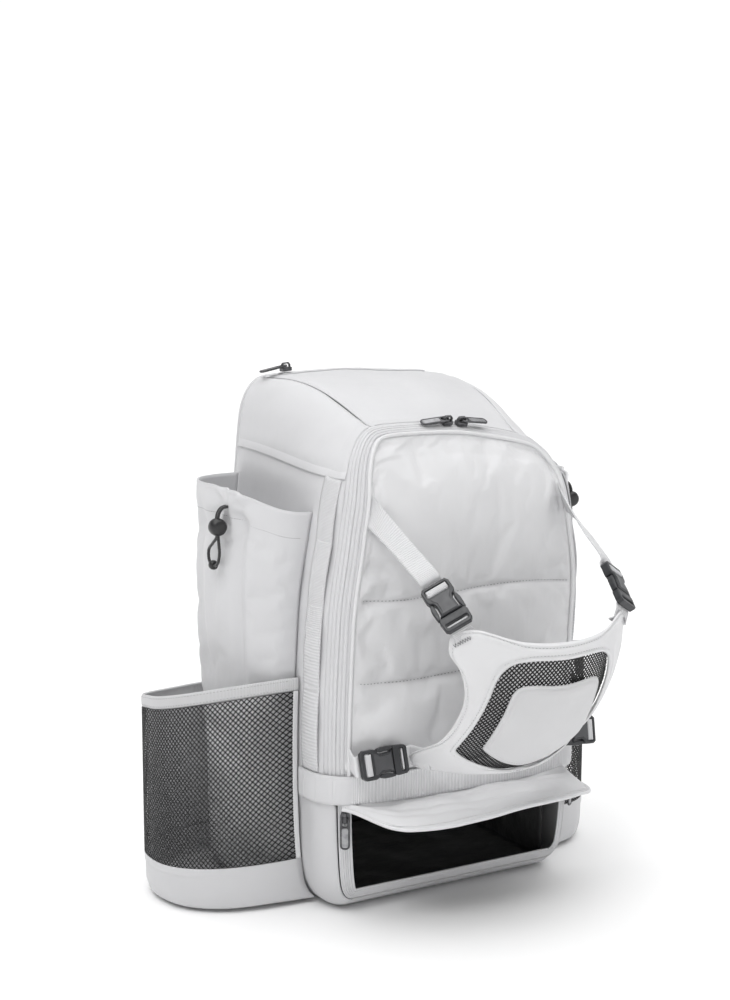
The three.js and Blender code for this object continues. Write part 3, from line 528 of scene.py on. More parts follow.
# The binding is the pale cloth darkened, as painted shade for binding that faces down
binding_cloth_painted_shade = ribbed("elastic binding with painted shade", shade(PALE, 0.87), 0.0014)
webbing_up = ribbed("upright webbing", shade(GREY, 1.06), 0.0019, "Y")
strap_cloth = ribbed("strap webbing", shade(GREY, 1.06), 0.0012)
pad_cloth = woven("spacer mesh", shade(GREY, 0.94), 0.0024, roughness=0.78, weave=0.9)
thread_cloth = woven("sewing thread", shade(PALE, 1.02), 0.0004, roughness=0.6)
dark_thread = woven("grey sewing thread", (0.27, 0.27, 0.28), 0.0004, roughness=0.6)
net_cloth = woven("black net", (0.006, 0.006, 0.0065), 0.0006, roughness=0.55, weave=0.4, sheen=0.02)
black_lining = lining_cloth("black lining", (0.010, 0.010, 0.011))
buckle_plastic = moulded("buckle plastic", (0.021, 0.022, 0.025), 0.36)
# The buckle face is a lighter copy of the buckle plastic: painted light on its raised top
buckle_face_painted_light = moulded("buckle plastic face, painted light", (0.055, 0.056, 0.06), 0.4)
cord_plastic = moulded("cord lock plastic", (0.012, 0.012, 0.013), 0.34)
pull_metal = gunmetal("gunmetal", (0.10, 0.10, 0.105), 0.34)
pull_light = gunmetal("worn gunmetal", (0.32, 0.32, 0.33), 0.4)


def braid():
    finish = Finish("braided cord", DARK, 0.6)
    finish.set("Sheen Weight", 0.3)
    finish.raise_by(finish.bands("DIAGONAL", 0.0014, "Object"), 0.7, 0.0004)
    finish.tint(finish.cloud(400.0), shade(DARK, 0.7), shade(DARK, 1.9))
    return finish.material


cord_braid = braid()
SLOTS = {
    "body_fabric": (body_cloth, base_cloth, pad_cloth),
    "pale_fabric": (pale_cloth, patch_cloth_painted_shade, door_cloth, binding_cloth_painted_shade, thread_cloth, dark_thread),
    "zip_tape": (tape_cloth,),
    "webbing": (webbing_cloth_painted_light, webbing_up, strap_cloth),
    "mesh_fabric": (net_cloth,),
    "lining": (black_lining,),
    "buckle_plastic": (buckle_plastic, buckle_face_painted_light),
    "cord_plastic": (cord_plastic,),
    "zip_metal": (pull_metal, pull_light),
    "cord": (cord_braid,),
}
SLOT_OF = {material: slot for slot, materials in SLOTS.items() for material in materials}


# Making pieces
def put(name, mesh, material, nodes=(), body="bag", shaded=True, wall=0.0):
    """Turns a bmesh into a piece that rides on a body, stands for the nodes and may get a wall."""
    data = bpy.data.meshes.new(name)
    mesh.to_mesh(data)
    mesh.free()
    if shaded:
        data.shade_smooth()
    piece = attach(name, data, material, nodes, body)
    if wall:
        thicken(piece, wall)
    return piece


def attach(name, data, material, nodes, body):
    data.materials.append(material)
    piece = bpy.data.objects.new(name, data)
    bpy.context.scene.collection.objects.link(piece)
    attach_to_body(piece, body)
    if nodes:
        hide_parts(*nodes)
    return piece


def thicken(piece, thickness):
    wall = piece.modifiers.new("wall", "SOLIDIFY")
    wall.thickness = thickness * MM
    wall.offset = -1.0
    wall.use_rim = True


SETTLE_FRAMES = 18


def settle(piece, wide, high, hold, pressure, grow, cap):
    """Lets grid cloth swell between the places that hold it, and keeps what it comes to."""
    start = [vertex.co.copy() for vertex in piece.data.vertices]
    held = piece.vertex_groups.new(name="held")
    for index in range(len(start)):
        u, v = index % (wide + 1) / wide, index // (wide + 1) / high
        held.add([index], min(1.0, max(0.0, hold(u, v))), "REPLACE")
    swell = piece.modifiers.new("swell", "CLOTH")
    swell.settings.quality = 6
    swell.settings.mass = 0.2
    swell.settings.tension_stiffness = 12
    swell.settings.compression_stiffness = 12
    swell.settings.shear_stiffness = 4
    swell.settings.bending_stiffness = 0.6
    swell.settings.vertex_group_mass = "held"
    swell.settings.use_pressure = True
    swell.settings.uniform_pressure_force = pressure
    swell.settings.shrink_min = -grow
    swell.settings.effector_weights.gravity = 0
    swell.collision_settings.use_collision = False
    swell.collision_settings.use_self_collision = False
    swell.point_cache.frame_start = 1
    swell.point_cache.frame_end = SETTLE_FRAMES
    scene = bpy.context.scene
    for number in range(1, SETTLE_FRAMES + 1):
        scene.frame_set(number)
    seen = piece.evaluated_get(bpy.context.evaluated_depsgraph_get())
    ended = [vertex.co.copy() for vertex in seen.data.vertices]
    piece.modifiers.remove(swell)
    scene.frame_set(1)
    for vertex, old, new in zip(piece.data.vertices, start, ended):
        move = new - old
        vertex.co = old + move * min(1.0, cap * MM / max(move.length, 1e-9))


def length_of(points):
    return sum((b - a).length for a, b in zip(points, points[1:]))


def cloth(wide, high, place, flip=False, ring=False):
    """Grid of wide by high faces with each corner at place(u, v) in millimetres and UVs in metres."""
    mesh = bmesh.new()
    bmesh.ops.create_grid(mesh, x_segments=wide, y_segments=high, size=0.5)
    layer = mesh.loops.layers.uv.new("UVMap")
    across = length_of([place(k / 24, 0.5) for k in range(25)]) * MM
    upward = length_of([place(0.5, k / 24) for k in range(25)]) * MM
    for face in mesh.faces:
        for loop in face.loops:
            spot = loop.vert.co
            loop[layer].uv = ((spot.x + 0.5) * across, (spot.y + 0.5) * upward)
    for vertex in mesh.verts:
        vertex.co = place(vertex.co.x + 0.5, vertex.co.y + 0.5) * MM
    if flip:
        bmesh.ops.reverse_faces(mesh, faces=mesh.faces[:])
    if ring:
        bmesh.ops.remove_doubles(mesh, verts=mesh.verts[:], dist=0.00002)
    return mesh


def sampled(place, wide, high):
    """The same surface kept as a lattice, so that fine pieces can read it quickly."""
    rows = [[place(i / wide, j / high) for i in range(wide + 1)] for j in range(high + 1)]

    def value(u, v):
        x = min(max(u, 0.0), 1.0) * wide
        y = min(max(v, 0.0), 1.0) * high
        i, j = min(int(x), wide - 1), min(int(y), high - 1)
        s, t = x - i, y - j
        low = rows[j][i].lerp(rows[j][i + 1], s)
        return low.lerp(rows[j + 1][i].lerp(rows[j + 1][i + 1], s), t)

    return value


def normal_of(place, u, v, flip=False):
    e = 0.004
    along = place(min(1, u + e), v) - place(max(0, u - e), v)
    up = place(u, min(1, v + e)) - place(u, max(0, v - e))
    normal = along.cross(up).normalized()
    return -normal if flip else normal


def soft_waves(point, size, depth, seed=0.0):
    """Gentle unevenness of loose cloth, the size in millimetres."""
    return depth * noise.noise(point / size + Vector((seed, seed * 1.7, seed * 0.6)))


def crease(a, b, folds):
    """Depth at (a, b) of soft folds that each run from one place to another."""
    depth = 0.0
    for a0, b0, a1, b1, wide, deep in folds:
        da, db = a1 - a0, b1 - b0
        share = ((a - a0) * da + (b - b0) * db) / (da * da + db * db)
        held = min(1.0, max(0.0, share))
        away = math.hypot(a - a0 - da * held, b - b0 - db * held)
        ends = smooth(-0.25, 0.2, share) * (1 - smooth(0.7, 1.15, share))
        depth += deep * math.exp(-((away / wide) ** 2)) * ends
    return depth


def spanned(low, high, left, right, shape):
    """Surface between four edge curves, then shaped point by point."""
    corners = low(0), low(1), high(0), high(1)

    def place(u, v):
        across = left(v).lerp(right(v), u)
        upward = low(u).lerp(high(u), v)
        base = corners[0].lerp(corners[1], u).lerp(corners[2].lerp(corners[3], u), v)
        return shape(across + upward - base, u, v)

    return place


THREAD_SINK = 0.1
stitch_pale = bmesh.new()
stitch_grey = bmesh.new()


def stitch(target, path, pitch=3.4, long=2.4, wide=0.7):
    """Row of thread stitches along a path of (point, outward normal) pairs in millimetres."""
    walked = 0.0
    due = pitch / 2
    for (a, na), (b, nb) in zip(path, path[1:]):
        span = (b - a).length
        while span > 1e-6 and due <= walked + span:
            share = (due - walked) / span
            normal = na.lerp(nb, share).normalized()
            along = (b - a).normalized()
            place_one_stitch(target, a.lerp(b, share) - normal * THREAD_SINK, along, normal, long, wide)
            due += pitch
        walked += span


def place_one_stitch(target, spot, along, normal, long, wide):
    across = normal.cross(along).normalized()
    turn = Matrix((along, across, along.cross(across))).transposed().to_4x4()
    size = Matrix.Diagonal((long * MM / 2, wide * MM / 2, wide * MM / 2, 1))
    bmesh.ops.create_icosphere(
        target, subdivisions=1, radius=1.0, matrix=Matrix.Translation(spot * MM) @ turn @ size
    )


def stitch_between(target, a, b, normal, wide):
    place_one_stitch(target, (a + b) / 2, (b - a).normalized(), normal, (b - a).length, wide)


def line_on(place, spots, count, flip=False, lift=0.0):
    """Points and normals along a line of (u, v) spots on a surface."""
    walk = smooth_path([Vector((u, v, 0)) for u, v in spots])
    path = []
    for k in range(count + 1):
        u, v, _ = walk(k / count)
        normal = normal_of(place, u, v, flip)
        path.append((place(u, v) + normal * lift, normal))
    return path


def rope(name, points, radius, material, closed=False, nodes=(), resolution=3):
    """Round cord or piping along points in millimetres."""
    data = bpy.data.curves.new(name, "CURVE")
    data.dimensions = "3D"
    data.bevel_depth = radius * MM
    data.bevel_resolution = resolution
    data.use_fill_caps = True
    line = data.splines.new("POLY")
    line.points.add(len(points) - 1)
    for spot, point in zip(line.points, points):
        spot.co = (*(point * MM), 1.0)
    line.use_cyclic_u = closed
    line.use_smooth = True
    return attach(name, data, material, nodes, "bag")


def add_mesh(target, part):
    """Joins a small bmesh into a larger one."""
    data = bpy.data.meshes.new("joined")
    part.to_mesh(data)
    part.free()
    target.from_mesh(data)
    bpy.data.meshes.remove(data)


def plate(target, outline, holes, low, high, edge, place):
    """Moulded plate from an outline and holes in x and y, rising from low to high, with rounded edges."""
    part = bmesh.new()
    edges = []
    for loop in [outline, *holes]:
        corners = [part.verts.new((x, y, low)) for x, y in loop]
        edges += [part.edges.new((corners[k - 1], corners[k])) for k in range(len(corners))]
    bmesh.ops.triangle_fill(part, use_beauty=True, use_dissolve=False, edges=edges)
    grown = bmesh.ops.extrude_face_region(part, geom=part.faces[:])
    raised = [item for item in grown["geom"] if isinstance(item, bmesh.types.BMVert)]
    bmesh.ops.translate(part, verts=raised, vec=(0, 0, high - low))
    bmesh.ops.recalc_face_normals(part, faces=part.faces[:])
    sharp = [item for item in part.edges if len(item.link_faces) == 2 and item.calc_face_angle(0) > 0.9]
    bmesh.ops.bevel(
        part, geom=sharp, offset=edge, offset_type="OFFSET", segments=2, profile=0.5,
        affect="EDGES", material=-1, clamp_overlap=True,
    )
    scale = Matrix.Diagonal((MM, MM, MM, 1))
    bmesh.ops.transform(part, matrix=scale @ place, verts=part.verts[:])
    add_mesh(target, part)


def rounded_box(wide, tall, radius, middle=(0, 0), per_corner=4):
    points = []
    for quarter, (sx, sy) in enumerate(((1, 1), (-1, 1), (-1, -1), (1, -1))):
        for k in range(per_corner + 1):
            angle = (quarter + k / per_corner) * math.pi / 2
            x = middle[0] + sx * (wide / 2 - radius) + radius * math.cos(angle)
            points.append((x, middle[1] + sy * (tall / 2 - radius) + radius * math.sin(angle)))
    return points


def direction(path, share):
    return (path(min(1, share + 0.01)) - path(max(0, share - 0.01))).normalized()


def squared(vector, along):
    """Direction of the part of a vector that stands square to another direction."""
    return (vector - along * vector.dot(along)).normalized()


def frame_at(origin, lengthwise, upward):
    x = lengthwise.normalized()
    z = squared(upward, x)
    y = z.cross(x)
    turn = Matrix((x, y, z)).transposed().to_4x4()
    return Matrix.Translation(origin) @ turn


# Side panels: yoke seam across the shoulder, soft unevenness, pinched edges
def yoke_height(y):
    return mix(429, 413, smooth(110, -80, y))


def side_place(side):
    def place(u, v):
        step = mix(1.08, SEAM_STEP - SEAM_GAP, u)
        height = outline_at(step, 1)[1]
        edge = mix(SHOE_EDGE, zip_outer(step) + UNDER_ZIP, smooth(106, 131, height))
        depth = mix(REAR_SEAM, edge, v)
        point = body_point(side, step, depth)
        above = point.z - yoke_height(point.y)
        lift = 1.4 * hump(above, 12, 10) + 0.9 * hump(above, -14, 10)
        lift += soft_waves(point, 46, 1.5, side) + soft_waves(point, 19, 0.5, side + 4)
        lift *= smooth(0, 0.05, u) * smooth(0, 0.06, v) * (1 - smooth(0.94, 1, v))
        lift -= 1.8 * smooth(SEAM_STEP - 0.12, SEAM_STEP - SEAM_GAP, step)
        return point + body_normal(side, step, depth) * lift

    return place


def yoke_place(side):
    """Turned edge of the shoulder yoke, standing off the panel below it."""
    surface = side_place(side)

    def place(u, v):
        along = v * 0.985 + 0.01

        def under_seam(share):
            point = surface(share, along)
            return point.z < yoke_height(point.y)

        share = halved(0.55, 0.995, under_seam, 16) + 0.022 * u
        normal = normal_of(surface, share, along, side < 0)
        return surface(share, along) + normal * mix(1.5, -0.5, u * u)

    return place


for tag, side in SIDES:
    panel_mesh = cloth(120, 56, side_place(side), flip=side < 0)
    put(f"side_panel_cloth_{tag}", panel_mesh, body_cloth, [f"side_panel_{tag}"], wall=CLOTH_WALL)
    yoke_mesh = cloth(8, 110, sampled(yoke_place(side), 8, 60), flip=side < 0)
    put(f"side_yoke_{tag}", yoke_mesh, body_cloth, wall=1.1)


# Top panel between the two shoulder seams
def top_step(u):
    return mix(SEAM_STEP + SEAM_GAP, MIDDLE_STEP, 1 - from_middle(u))


def top_place(u, v):
    side = side_of(u)
    step = top_step(u)
    depth = mix(REAR_SEAM, zip_outer(step) + UNDER_ZIP, v)
    point = body_point(side, step, depth)
    ends = smooth(0, 0.05, u) * (1 - smooth(0.95, 1, u))
    lift = (soft_waves(point, 52, 2.0, 2) + soft_waves(point, 21, 0.7, 6)) * ends
    lift *= smooth(0, 0.08, v) * (1 - smooth(0.92, 1, v))
    lift -= 1.8 * (1 - smooth(0, 0.035, min(u, 1 - u)))
    return point + body_normal(side, step, depth) * lift


top_surface = sampled(top_place, 130, 60)
top_mesh = cloth(110, 50, top_surface, flip=True)
put("top_panel_cloth", top_mesh, body_cloth, ["top_panel"], wall=CLOTH_WALL)


# Bottom panel with its lip turned up at the front
def bottom_place(u, v):
    return body_point(side_of(u), 1.05 * from_middle(u), mix(REAR_SEAM, SHOE_EDGE, v))


bottom_mesh = cloth(48, 30, bottom_place)
put("bottom_panel_cloth", bottom_mesh, base_cloth, ["bottom_panel"], wall=CLOTH_WALL)


# Padded back panel with quilted channels
PAD_SHARE = 0.985
PAD_MIDDLE_Z = 255
PAD_CHANNELS = (0.26, 0.5, 0.74)
PAD_LOW = 1.5
PAD_HIGH = 6.6


def pad_edge(side, step):
    point = body_point(side, step, 0)
    return Vector((point.x * PAD_SHARE, BACK_Y + 0.6, mix(PAD_MIDDLE_Z, point.z, PAD_SHARE)))


def back_edge(step_low, step_high):
    def place(u):
        return pad_edge(side_of(u), mix(step_low, step_high, 1 - from_middle(u)))

    return place


def back_side(side):
    return lambda v: pad_edge(side, mix(PAD_LOW, PAD_HIGH, v))


def back_shape(point, u, v):
    inside = min(u, 1 - u, v, 1 - v)
    point.y += 6.2 * power(smooth(0, 0.1, inside), 0.6)
    for middle in PAD_CHANNELS:
        point.y -= 4.2 * hump(u, middle, 0.02) * smooth(0.02, 0.1, v) * (1 - smooth(0.9, 0.98, v))
    point.y += soft_waves(point, 40, 0.8, 9) * smooth(0, 0.1, inside)
    return point


back_low, back_high = back_edge(PAD_LOW, 0), back_edge(PAD_HIGH, MIDDLE_STEP)
back_place = spanned(back_low, back_high, back_side(LEFT), back_side(RIGHT), back_shape)
back_mesh = cloth(110, 60, back_place, flip=True)
back_pad = put("back_panel_pad", back_mesh, pad_cloth, ["back_panel"], wall=5.0)
for middle in PAD_CHANNELS:
    channel = [(middle, 0.04), (middle, 0.5), (middle, 0.96)]
    stitch(stitch_grey, line_on(back_place, channel, 160, flip=True))
back_rim = [body_point(LEFT, k / 12, 0, -1.6) + Vector((0, 1, 0)) for k in range(97)]
back_rim += [body_point(RIGHT, k / 12, 0, -1.6) + Vector((0, 1, 0)) for k in range(95, 0, -1)]
rope("back_seam_binding", back_rim, 2.1, body_cloth, closed=True)


# Front door inside the zip, with two cross seams and soft panels between them
DOOR_CORNER = 6.6
DOOR_SEAMS = (304, 227)
DOOR_GRID = (100, 110)
DOOR_LOW = step_at_height(WEBBING_LOW + 2, 1)


def door_edge(step):
    return zip_inner(step) + 0.05


def door_side(side):
    def place(v):
        step = mix(DOOR_LOW, DOOR_CORNER, v)
        return body_point(side, step, door_edge(step))

    return place


door_left, door_right = door_side(LEFT), door_side(RIGHT)


def door_base(u):
    return door_left(0).lerp(door_right(0), u)


def door_top(u):
    step = mix(DOOR_CORNER, MIDDLE_STEP, 1 - from_middle(u))
    return body_point(side_of(u), step, door_edge(step))


DOOR_FOLDS = (
    (0.03, 0.67, 0.2, 0.55, 0.034, 4.6),
    (0.02, 0.5, 0.17, 0.46, 0.03, 4.2),
    (0.03, 0.36, 0.2, 0.4, 0.034, 4.0),
    (0.04, 0.28, 0.16, 0.21, 0.03, 3.0),
    (0.97, 0.62, 0.82, 0.55, 0.03, 2.2),
    (0.97, 0.44, 0.8, 0.42, 0.03, 2.0),
    (0.3, 0.98, 0.33, 0.78, 0.03, 1.8),
    (0.45, 0.99, 0.44, 0.74, 0.035, 1.8),
    (0.6, 0.98, 0.57, 0.76, 0.03, 1.6),
    (0.74, 0.96, 0.69, 0.78, 0.03, 1.6),
)


def seam_wave(u):
    return 3 * math.sin(u * 7)


def door_shape(point, u, v):
    inside = smooth(0, 0.05, min(u, 1 - u)) * smooth(0, 0.04, min(v, 1 - v))
    crown = power(math.sin(u * math.pi), 0.6) * power(math.sin(min(1, v * 1.06 + 0.06) * math.pi), 0.5)
    press = 4 * math.exp(-(((u - 0.52) / 0.3) ** 2) - (((v - 0.42) / 0.22) ** 2))
    out = 9 * crown - press
    for seam in DOOR_SEAMS:
        away = point.z - seam + seam_wave(u)
        out += (1.6 * hump(away, 12, 12) + 1.6 * hump(away, -12, 12) - 3.0 * hump(away, 0, 3.0)) * inside
    out -= crease(u, v, DOOR_FOLDS) * inside
    out += (soft_waves(point, 38, 2.0, 3) + soft_waves(point, 16, 0.8, 5)) * inside
    point.y -= out
    return point


door_place = spanned(door_base, door_top, door_left, door_right, door_shape)
door_surface = sampled(door_place, *DOOR_GRID)
door = put("front_door_cloth", cloth(*DOOR_GRID, door_surface), door_cloth, ["front_door"])


def door_hold(u, v):
    edge = 1 - smooth(0.0, 0.03, min(u, 1 - u, v, 1 - v))
    z = door_surface(u, v).z + seam_wave(u)
    return max([edge] + [1 - smooth(2.6, 5, abs(z - seam)) for seam in DOOR_SEAMS])


def door_seam(seam, count=40):
    """Places along one cross seam, as shares across and up the door."""
    def height(u):
        return halved(0.02, 0.98, lambda v: door_surface(u, v).z + seam_wave(u) < seam, 18)

    shares = [mix(0.03, 0.97, k / count) for k in range(count + 1)]
    return [(u, height(u)) for u in shares]


for seam in DOOR_SEAMS:
    stitch(stitch_grey, line_on(door_surface, door_seam(seam), 240, lift=1.2), 3.8, 2.3, 0.8)
settle(door, *DOOR_GRID, door_hold, 2.0, 0.02, 9)
thicken(door, CLOTH_WALL)


def door_rim(side, share):
    step = mix(DOOR_LOW, MIDDLE_STEP, share)
    return body_point(side, step, door_edge(step) - 0.012, 0.9)


rim_line = [door_rim(LEFT, k / 150) for k in range(151)]
rim_line += [door_rim(RIGHT, k / 150) for k in range(149, -1, -1)]
rope("front_door_piping", rim_line, 1.9, pale_cloth)


# Main zip tape with its fine raised lines
def along_zip(u, v, lift=0.0):
    step = mix(ZIP_START, MIDDLE_STEP, 1 - from_middle(u))
    return body_point(side_of(u), step, mix(zip_outer(step) + 0.015, zip_inner(step) + 0.04, v), lift)


def zip_ridge(v):
    groove = sum(hump(v, middle, 0.022) for middle in (0.17, 0.34, 0.66, 0.83))
    swell = 0.7 * hump(v, 0.25, 0.09) + 0.7 * hump(v, 0.75, 0.09) + 0.9 * hump(v, 0.5, 0.14)
    return swell - 1.1 * groove - 1.9 * hump(v, 0.5, 0.016)


def zip_place(u, v):
    return along_zip(u, v, -0.9 + zip_ridge(v))


zip_mesh = cloth(220, 60, zip_place, flip=True)
put("main_zip_tape_cloth", zip_mesh, tape_cloth, ["main_zip_tape"], wall=TAPE_WALL)
SHOE_TOP = step_at_height(WEBBING_LOW + 2, 1)


def shoe_tape_place(u, v):
    step = SHOE_TOP * from_middle(u)
    return body_point(side_of(u), step, mix(SHOE_EDGE + 0.02, 1.73, v), -1.0 + 0.8 * zip_ridge(v))


shoe_tape_mesh = cloth(160, 44, shoe_tape_place)
put("shoe_zip_tape_cloth", shoe_tape_mesh, tape_cloth, ["shoe_zip_tape"], wall=TAPE_WALL)


# Horizontal webbing from one pocket round the front to the other
WEBBING_LIFT = 3.4


def webbing_end(side, z):
    """Places along the webbing from the pocket to the front on one side."""
    step = step_at_height(z, 1)
    places = [flank_point(side, y, z, WEBBING_LIFT) for y in (-62, -74)]
    places += [body_point(side, step, depth, WEBBING_LIFT) for depth in (1.2, 1.4, 1.6, 1.8)]
    return places


def webbing_front(x, z):
    return Vector((x, front_face(z) - 4.6 - 5 * (1 - (x / 110) ** 2), z))


def webbing_line(z):
    front = [webbing_front(x, z) for x in (-80, -45, 0, 45, 80)]
    return smooth_path([*webbing_end(LEFT, z), *front, *reversed(webbing_end(RIGHT, z))])


webbing_low, webbing_high = webbing_line(WEBBING_LOW), webbing_line(WEBBING_HIGH)


def webbing_flat(u, v):
    return webbing_low(u).lerp(webbing_high(u), v)


def webbing_place(u, v):
    point = webbing_flat(u, v)
    edge = 1 - abs(2 * v - 1) ** 6
    return point + normal_of(webbing_flat, u, v) * (0.5 * edge - 0.5 + soft_waves(point, 30, 0.5, 8))


webbing_mesh = cloth(260, 10, webbing_place)
put("lower_webbing_band", webbing_mesh, webbing_cloth_painted_light, ["lower_webbing"], wall=WEBBING_WALL)


def bartack(target, place, u, low, high, wide, rows, flip=False):
    """Close zig-zag of thread across a strap at one place along it."""
    for k in range(rows):
        v = mix(low, high, k / (rows - 1))
        sway = wide / 2 if k % 2 else -wide / 2
        a, b = place(u - wide / 2, v), place(u + wide / 2, v + sway * 0.1)
        stitch_between(target, a, b, normal_of(place, u, v, flip), 0.75)


for share in (0.055, 0.13, 0.21, 0.79, 0.87, 0.945):
    bartack(stitch_pale, webbing_place, share, 0.04, 0.96, 0.0045, 30)

# Vertical webbing strips beside the zip, sewn down in loops
CHAIN_TACKS = (417, 355, 296, 220, 143)
CHAIN_LOW = step_at_height(WEBBING_HIGH + 1.5, 1)
CHAIN_HIGH = step_at_height(CHAIN_TACKS[0], 1)


def chain_place(side):
    def place(u, v):
        step = mix(CHAIN_LOW, CHAIN_HIGH, v)
        z = outline_at(step, 1)[1]
        slack = 0.0
        for top, foot in zip(CHAIN_TACKS, CHAIN_TACKS[1:]):
            if foot <= z <= top:
                slack = power(math.sin(math.pi * (z - foot) / (top - foot)), 0.7)
        edge = 1 - abs(2 * u - 1) ** 6
        tucked = 3.6 * smooth(407, 414, z)
        return body_point(side, step, mix(0.955, 1.24, u), 1.9 + 1.5 * slack + 0.5 * edge - tucked)

    return place


def crosswise(place):
    """The same surface with its two directions exchanged."""
    return lambda u, v: place(v, u)


def chain_share(height):
    return (step_at_height(height, 1) - CHAIN_LOW) / (CHAIN_HIGH - CHAIN_LOW)


for tag, side in SIDES:
    strip = chain_place(side)
    strip_mesh = cloth(14, 160, strip, flip=side > 0)
    put(f"side_webbing_band_{tag}", strip_mesh, webbing_up, [f"side_webbing_{tag}"], wall=WEBBING_WALL)
    for height in CHAIN_TACKS[1:-1]:
        bartack(stitch_pale, crosswise(strip), chain_share(height), 0.05, 0.95, 0.01, 24, flip=side < 0)


# Soft pouches standing off the flanks
def pouch_point(side, ends, reach, angle, z, share, fold=None):
    front, back = ends
    cosine = math.cos(angle)
    spread = math.copysign(abs(cosine) ** (2 / POUCH_ROUND), cosine)
    y = (front + back) / 2 - (back - front) / 2 * spread
    foot = flank_point(side, min(y, BACK_Y - 2), z, 1.8 + 2 * (1 - smooth(0, 40, z)))
    bulge = power(math.sin(angle), 2 / POUCH_ROUND) * share
    depth = fold(y, z) * math.sin(angle) if fold else 0.0
    x = side * foot.x
    return Vector((side * max(x, mix(x, reach(z), bulge) - depth), y, z))


sleeve_reach = column(SLEEVE_REACH, "z", "x")
floor_of_sleeve = {name: column(SLEEVE_FLOOR, "row", name) for name in ("end_z", "z", "share")}
floor_of_pocket = {name: column(POCKET_FLOOR, "row", name) for name in ("end_z", "z", "share")}
HEM_DEEP = 27
HEM_SEAM = HEM_DEEP - 3
SLEEVE_TALL = 380
SLEEVE_GRID = (120, 120)
GATHER_Y = -7
GATHER_Z = 386


def sleeve_top(u):
    return mix(SLEEVE_TOP_FRONT, SLEEVE_TOP_BACK, smooth(0, 0.45, u))


def sleeve_fold(y, z):
    depth = 0.0
    for fold in SLEEVE_FOLDS:
        held = smooth(fold["low"], fold["low"] + 60, z) * (1 - smooth(368, 392, z))
        depth += fold["depth"] * hump(y, fold["y"], fold["wide"]) * held
    away = math.hypot(y - GATHER_Y, GATHER_Z - z)
    turn = math.atan2(y - GATHER_Y, GATHER_Z - z)
    depth += 2.6 * (1 + math.sin(turn * 7 + 0.6)) * smooth(3, 12, away) * math.exp(-away / 46)
    return depth


def sleeve_place(side):
    def place(u, v):
        angle = math.pi * u
        rise = abs(math.sin(angle)) ** 0.4
        row = min(1.0, v / 0.1) * 3
        share = floor_of_sleeve["share"](row)
        z = mix(floor_of_sleeve["end_z"](row), floor_of_sleeve["z"](row), rise)
        top = sleeve_top(u)
        z = mix(z, top, smooth_rise(v, 0.1))
        point = pouch_point(side, SLEEVE_ENDS, sleeve_reach, angle, z, share, sleeve_fold)
        below = top - z
        lift = 0.9 * (1 - smooth(HEM_DEEP - 1, HEM_DEEP + 1, below)) - 1.1 * hump(below, HEM_SEAM, 1.6)
        lift += soft_waves(point, 48, 1.6, 11) * smooth(0, 60, below) + soft_waves(point, 17, 0.5, 12)
        lift *= power(math.sin(angle), 0.5) * smooth(0.02, 0.12, v)
        point.x += side * lift
        return point

    return place


def smooth_rise(v, start):
    return max(0.0, (v - start) / (1 - start))


def sleeve_hold(u, v):
    ends = 1 - smooth(0.0, 0.03, min(u, 1 - u))
    return max(ends, 1 - smooth(0.1, 0.2, v), smooth(0.9, 0.93, v))


for tag, side in SIDES:
    surface = sampled(sleeve_place(side), 150, 150)
    sleeve_mesh = cloth(*SLEEVE_GRID, surface, flip=side < 0)
    piece = put(f"bat_sleeve_cloth_{tag}", sleeve_mesh, body_cloth, [f"bat_sleeve_{tag}"])
    settle(piece, *SLEEVE_GRID, sleeve_hold, 0.6, 0.01, 3)
    thicken(piece, POUCH_WALL)
    hem = [(k / 40, 1 - HEM_SEAM / SLEEVE_TALL) for k in range(1, 40)]
    stitch(stitch_grey, line_on(surface, hem, 160, flip=side < 0), 2.5, 2.7, 0.6)


# Bottle pockets: solid base, net wall, ribbed binding and an edge strip at the front
def level(ends, u):
    return mix(ends[0], ends[1], smooth(0, 0.9, u))


def pocket_wall(side, tag, low, high):
    def place(u, v):
        z = mix(level(low, u), level(high, u), v)
        return pouch_point(side, POCKET_ENDS, lambda height: POCKET_REACH[tag], math.pi * u, z, 1.0)

    return place


def pocket_base(side, tag):
    def place(u, v):
        angle = math.pi * u
        row = min(1.0, v / 0.6) * 4
        z = mix(floor_of_pocket["end_z"](row), floor_of_pocket["z"](row), abs(math.sin(angle)) ** 0.4)
        z = mix(z, level(MESH_LOW, u), smooth_rise(v, 0.6))
        share = floor_of_pocket["share"](row)
        point = pouch_point(side, POCKET_ENDS, lambda height: POCKET_REACH[tag], angle, z, share)
        turned_edge = 1.0 * smooth(0.86, 0.9, v)
        uneven = soft_waves(point, 36, 1.6, 14) * smooth(0, 0.2, v)
        point.x += side * (uneven + turned_edge) * math.sin(angle)
        return point

    return place


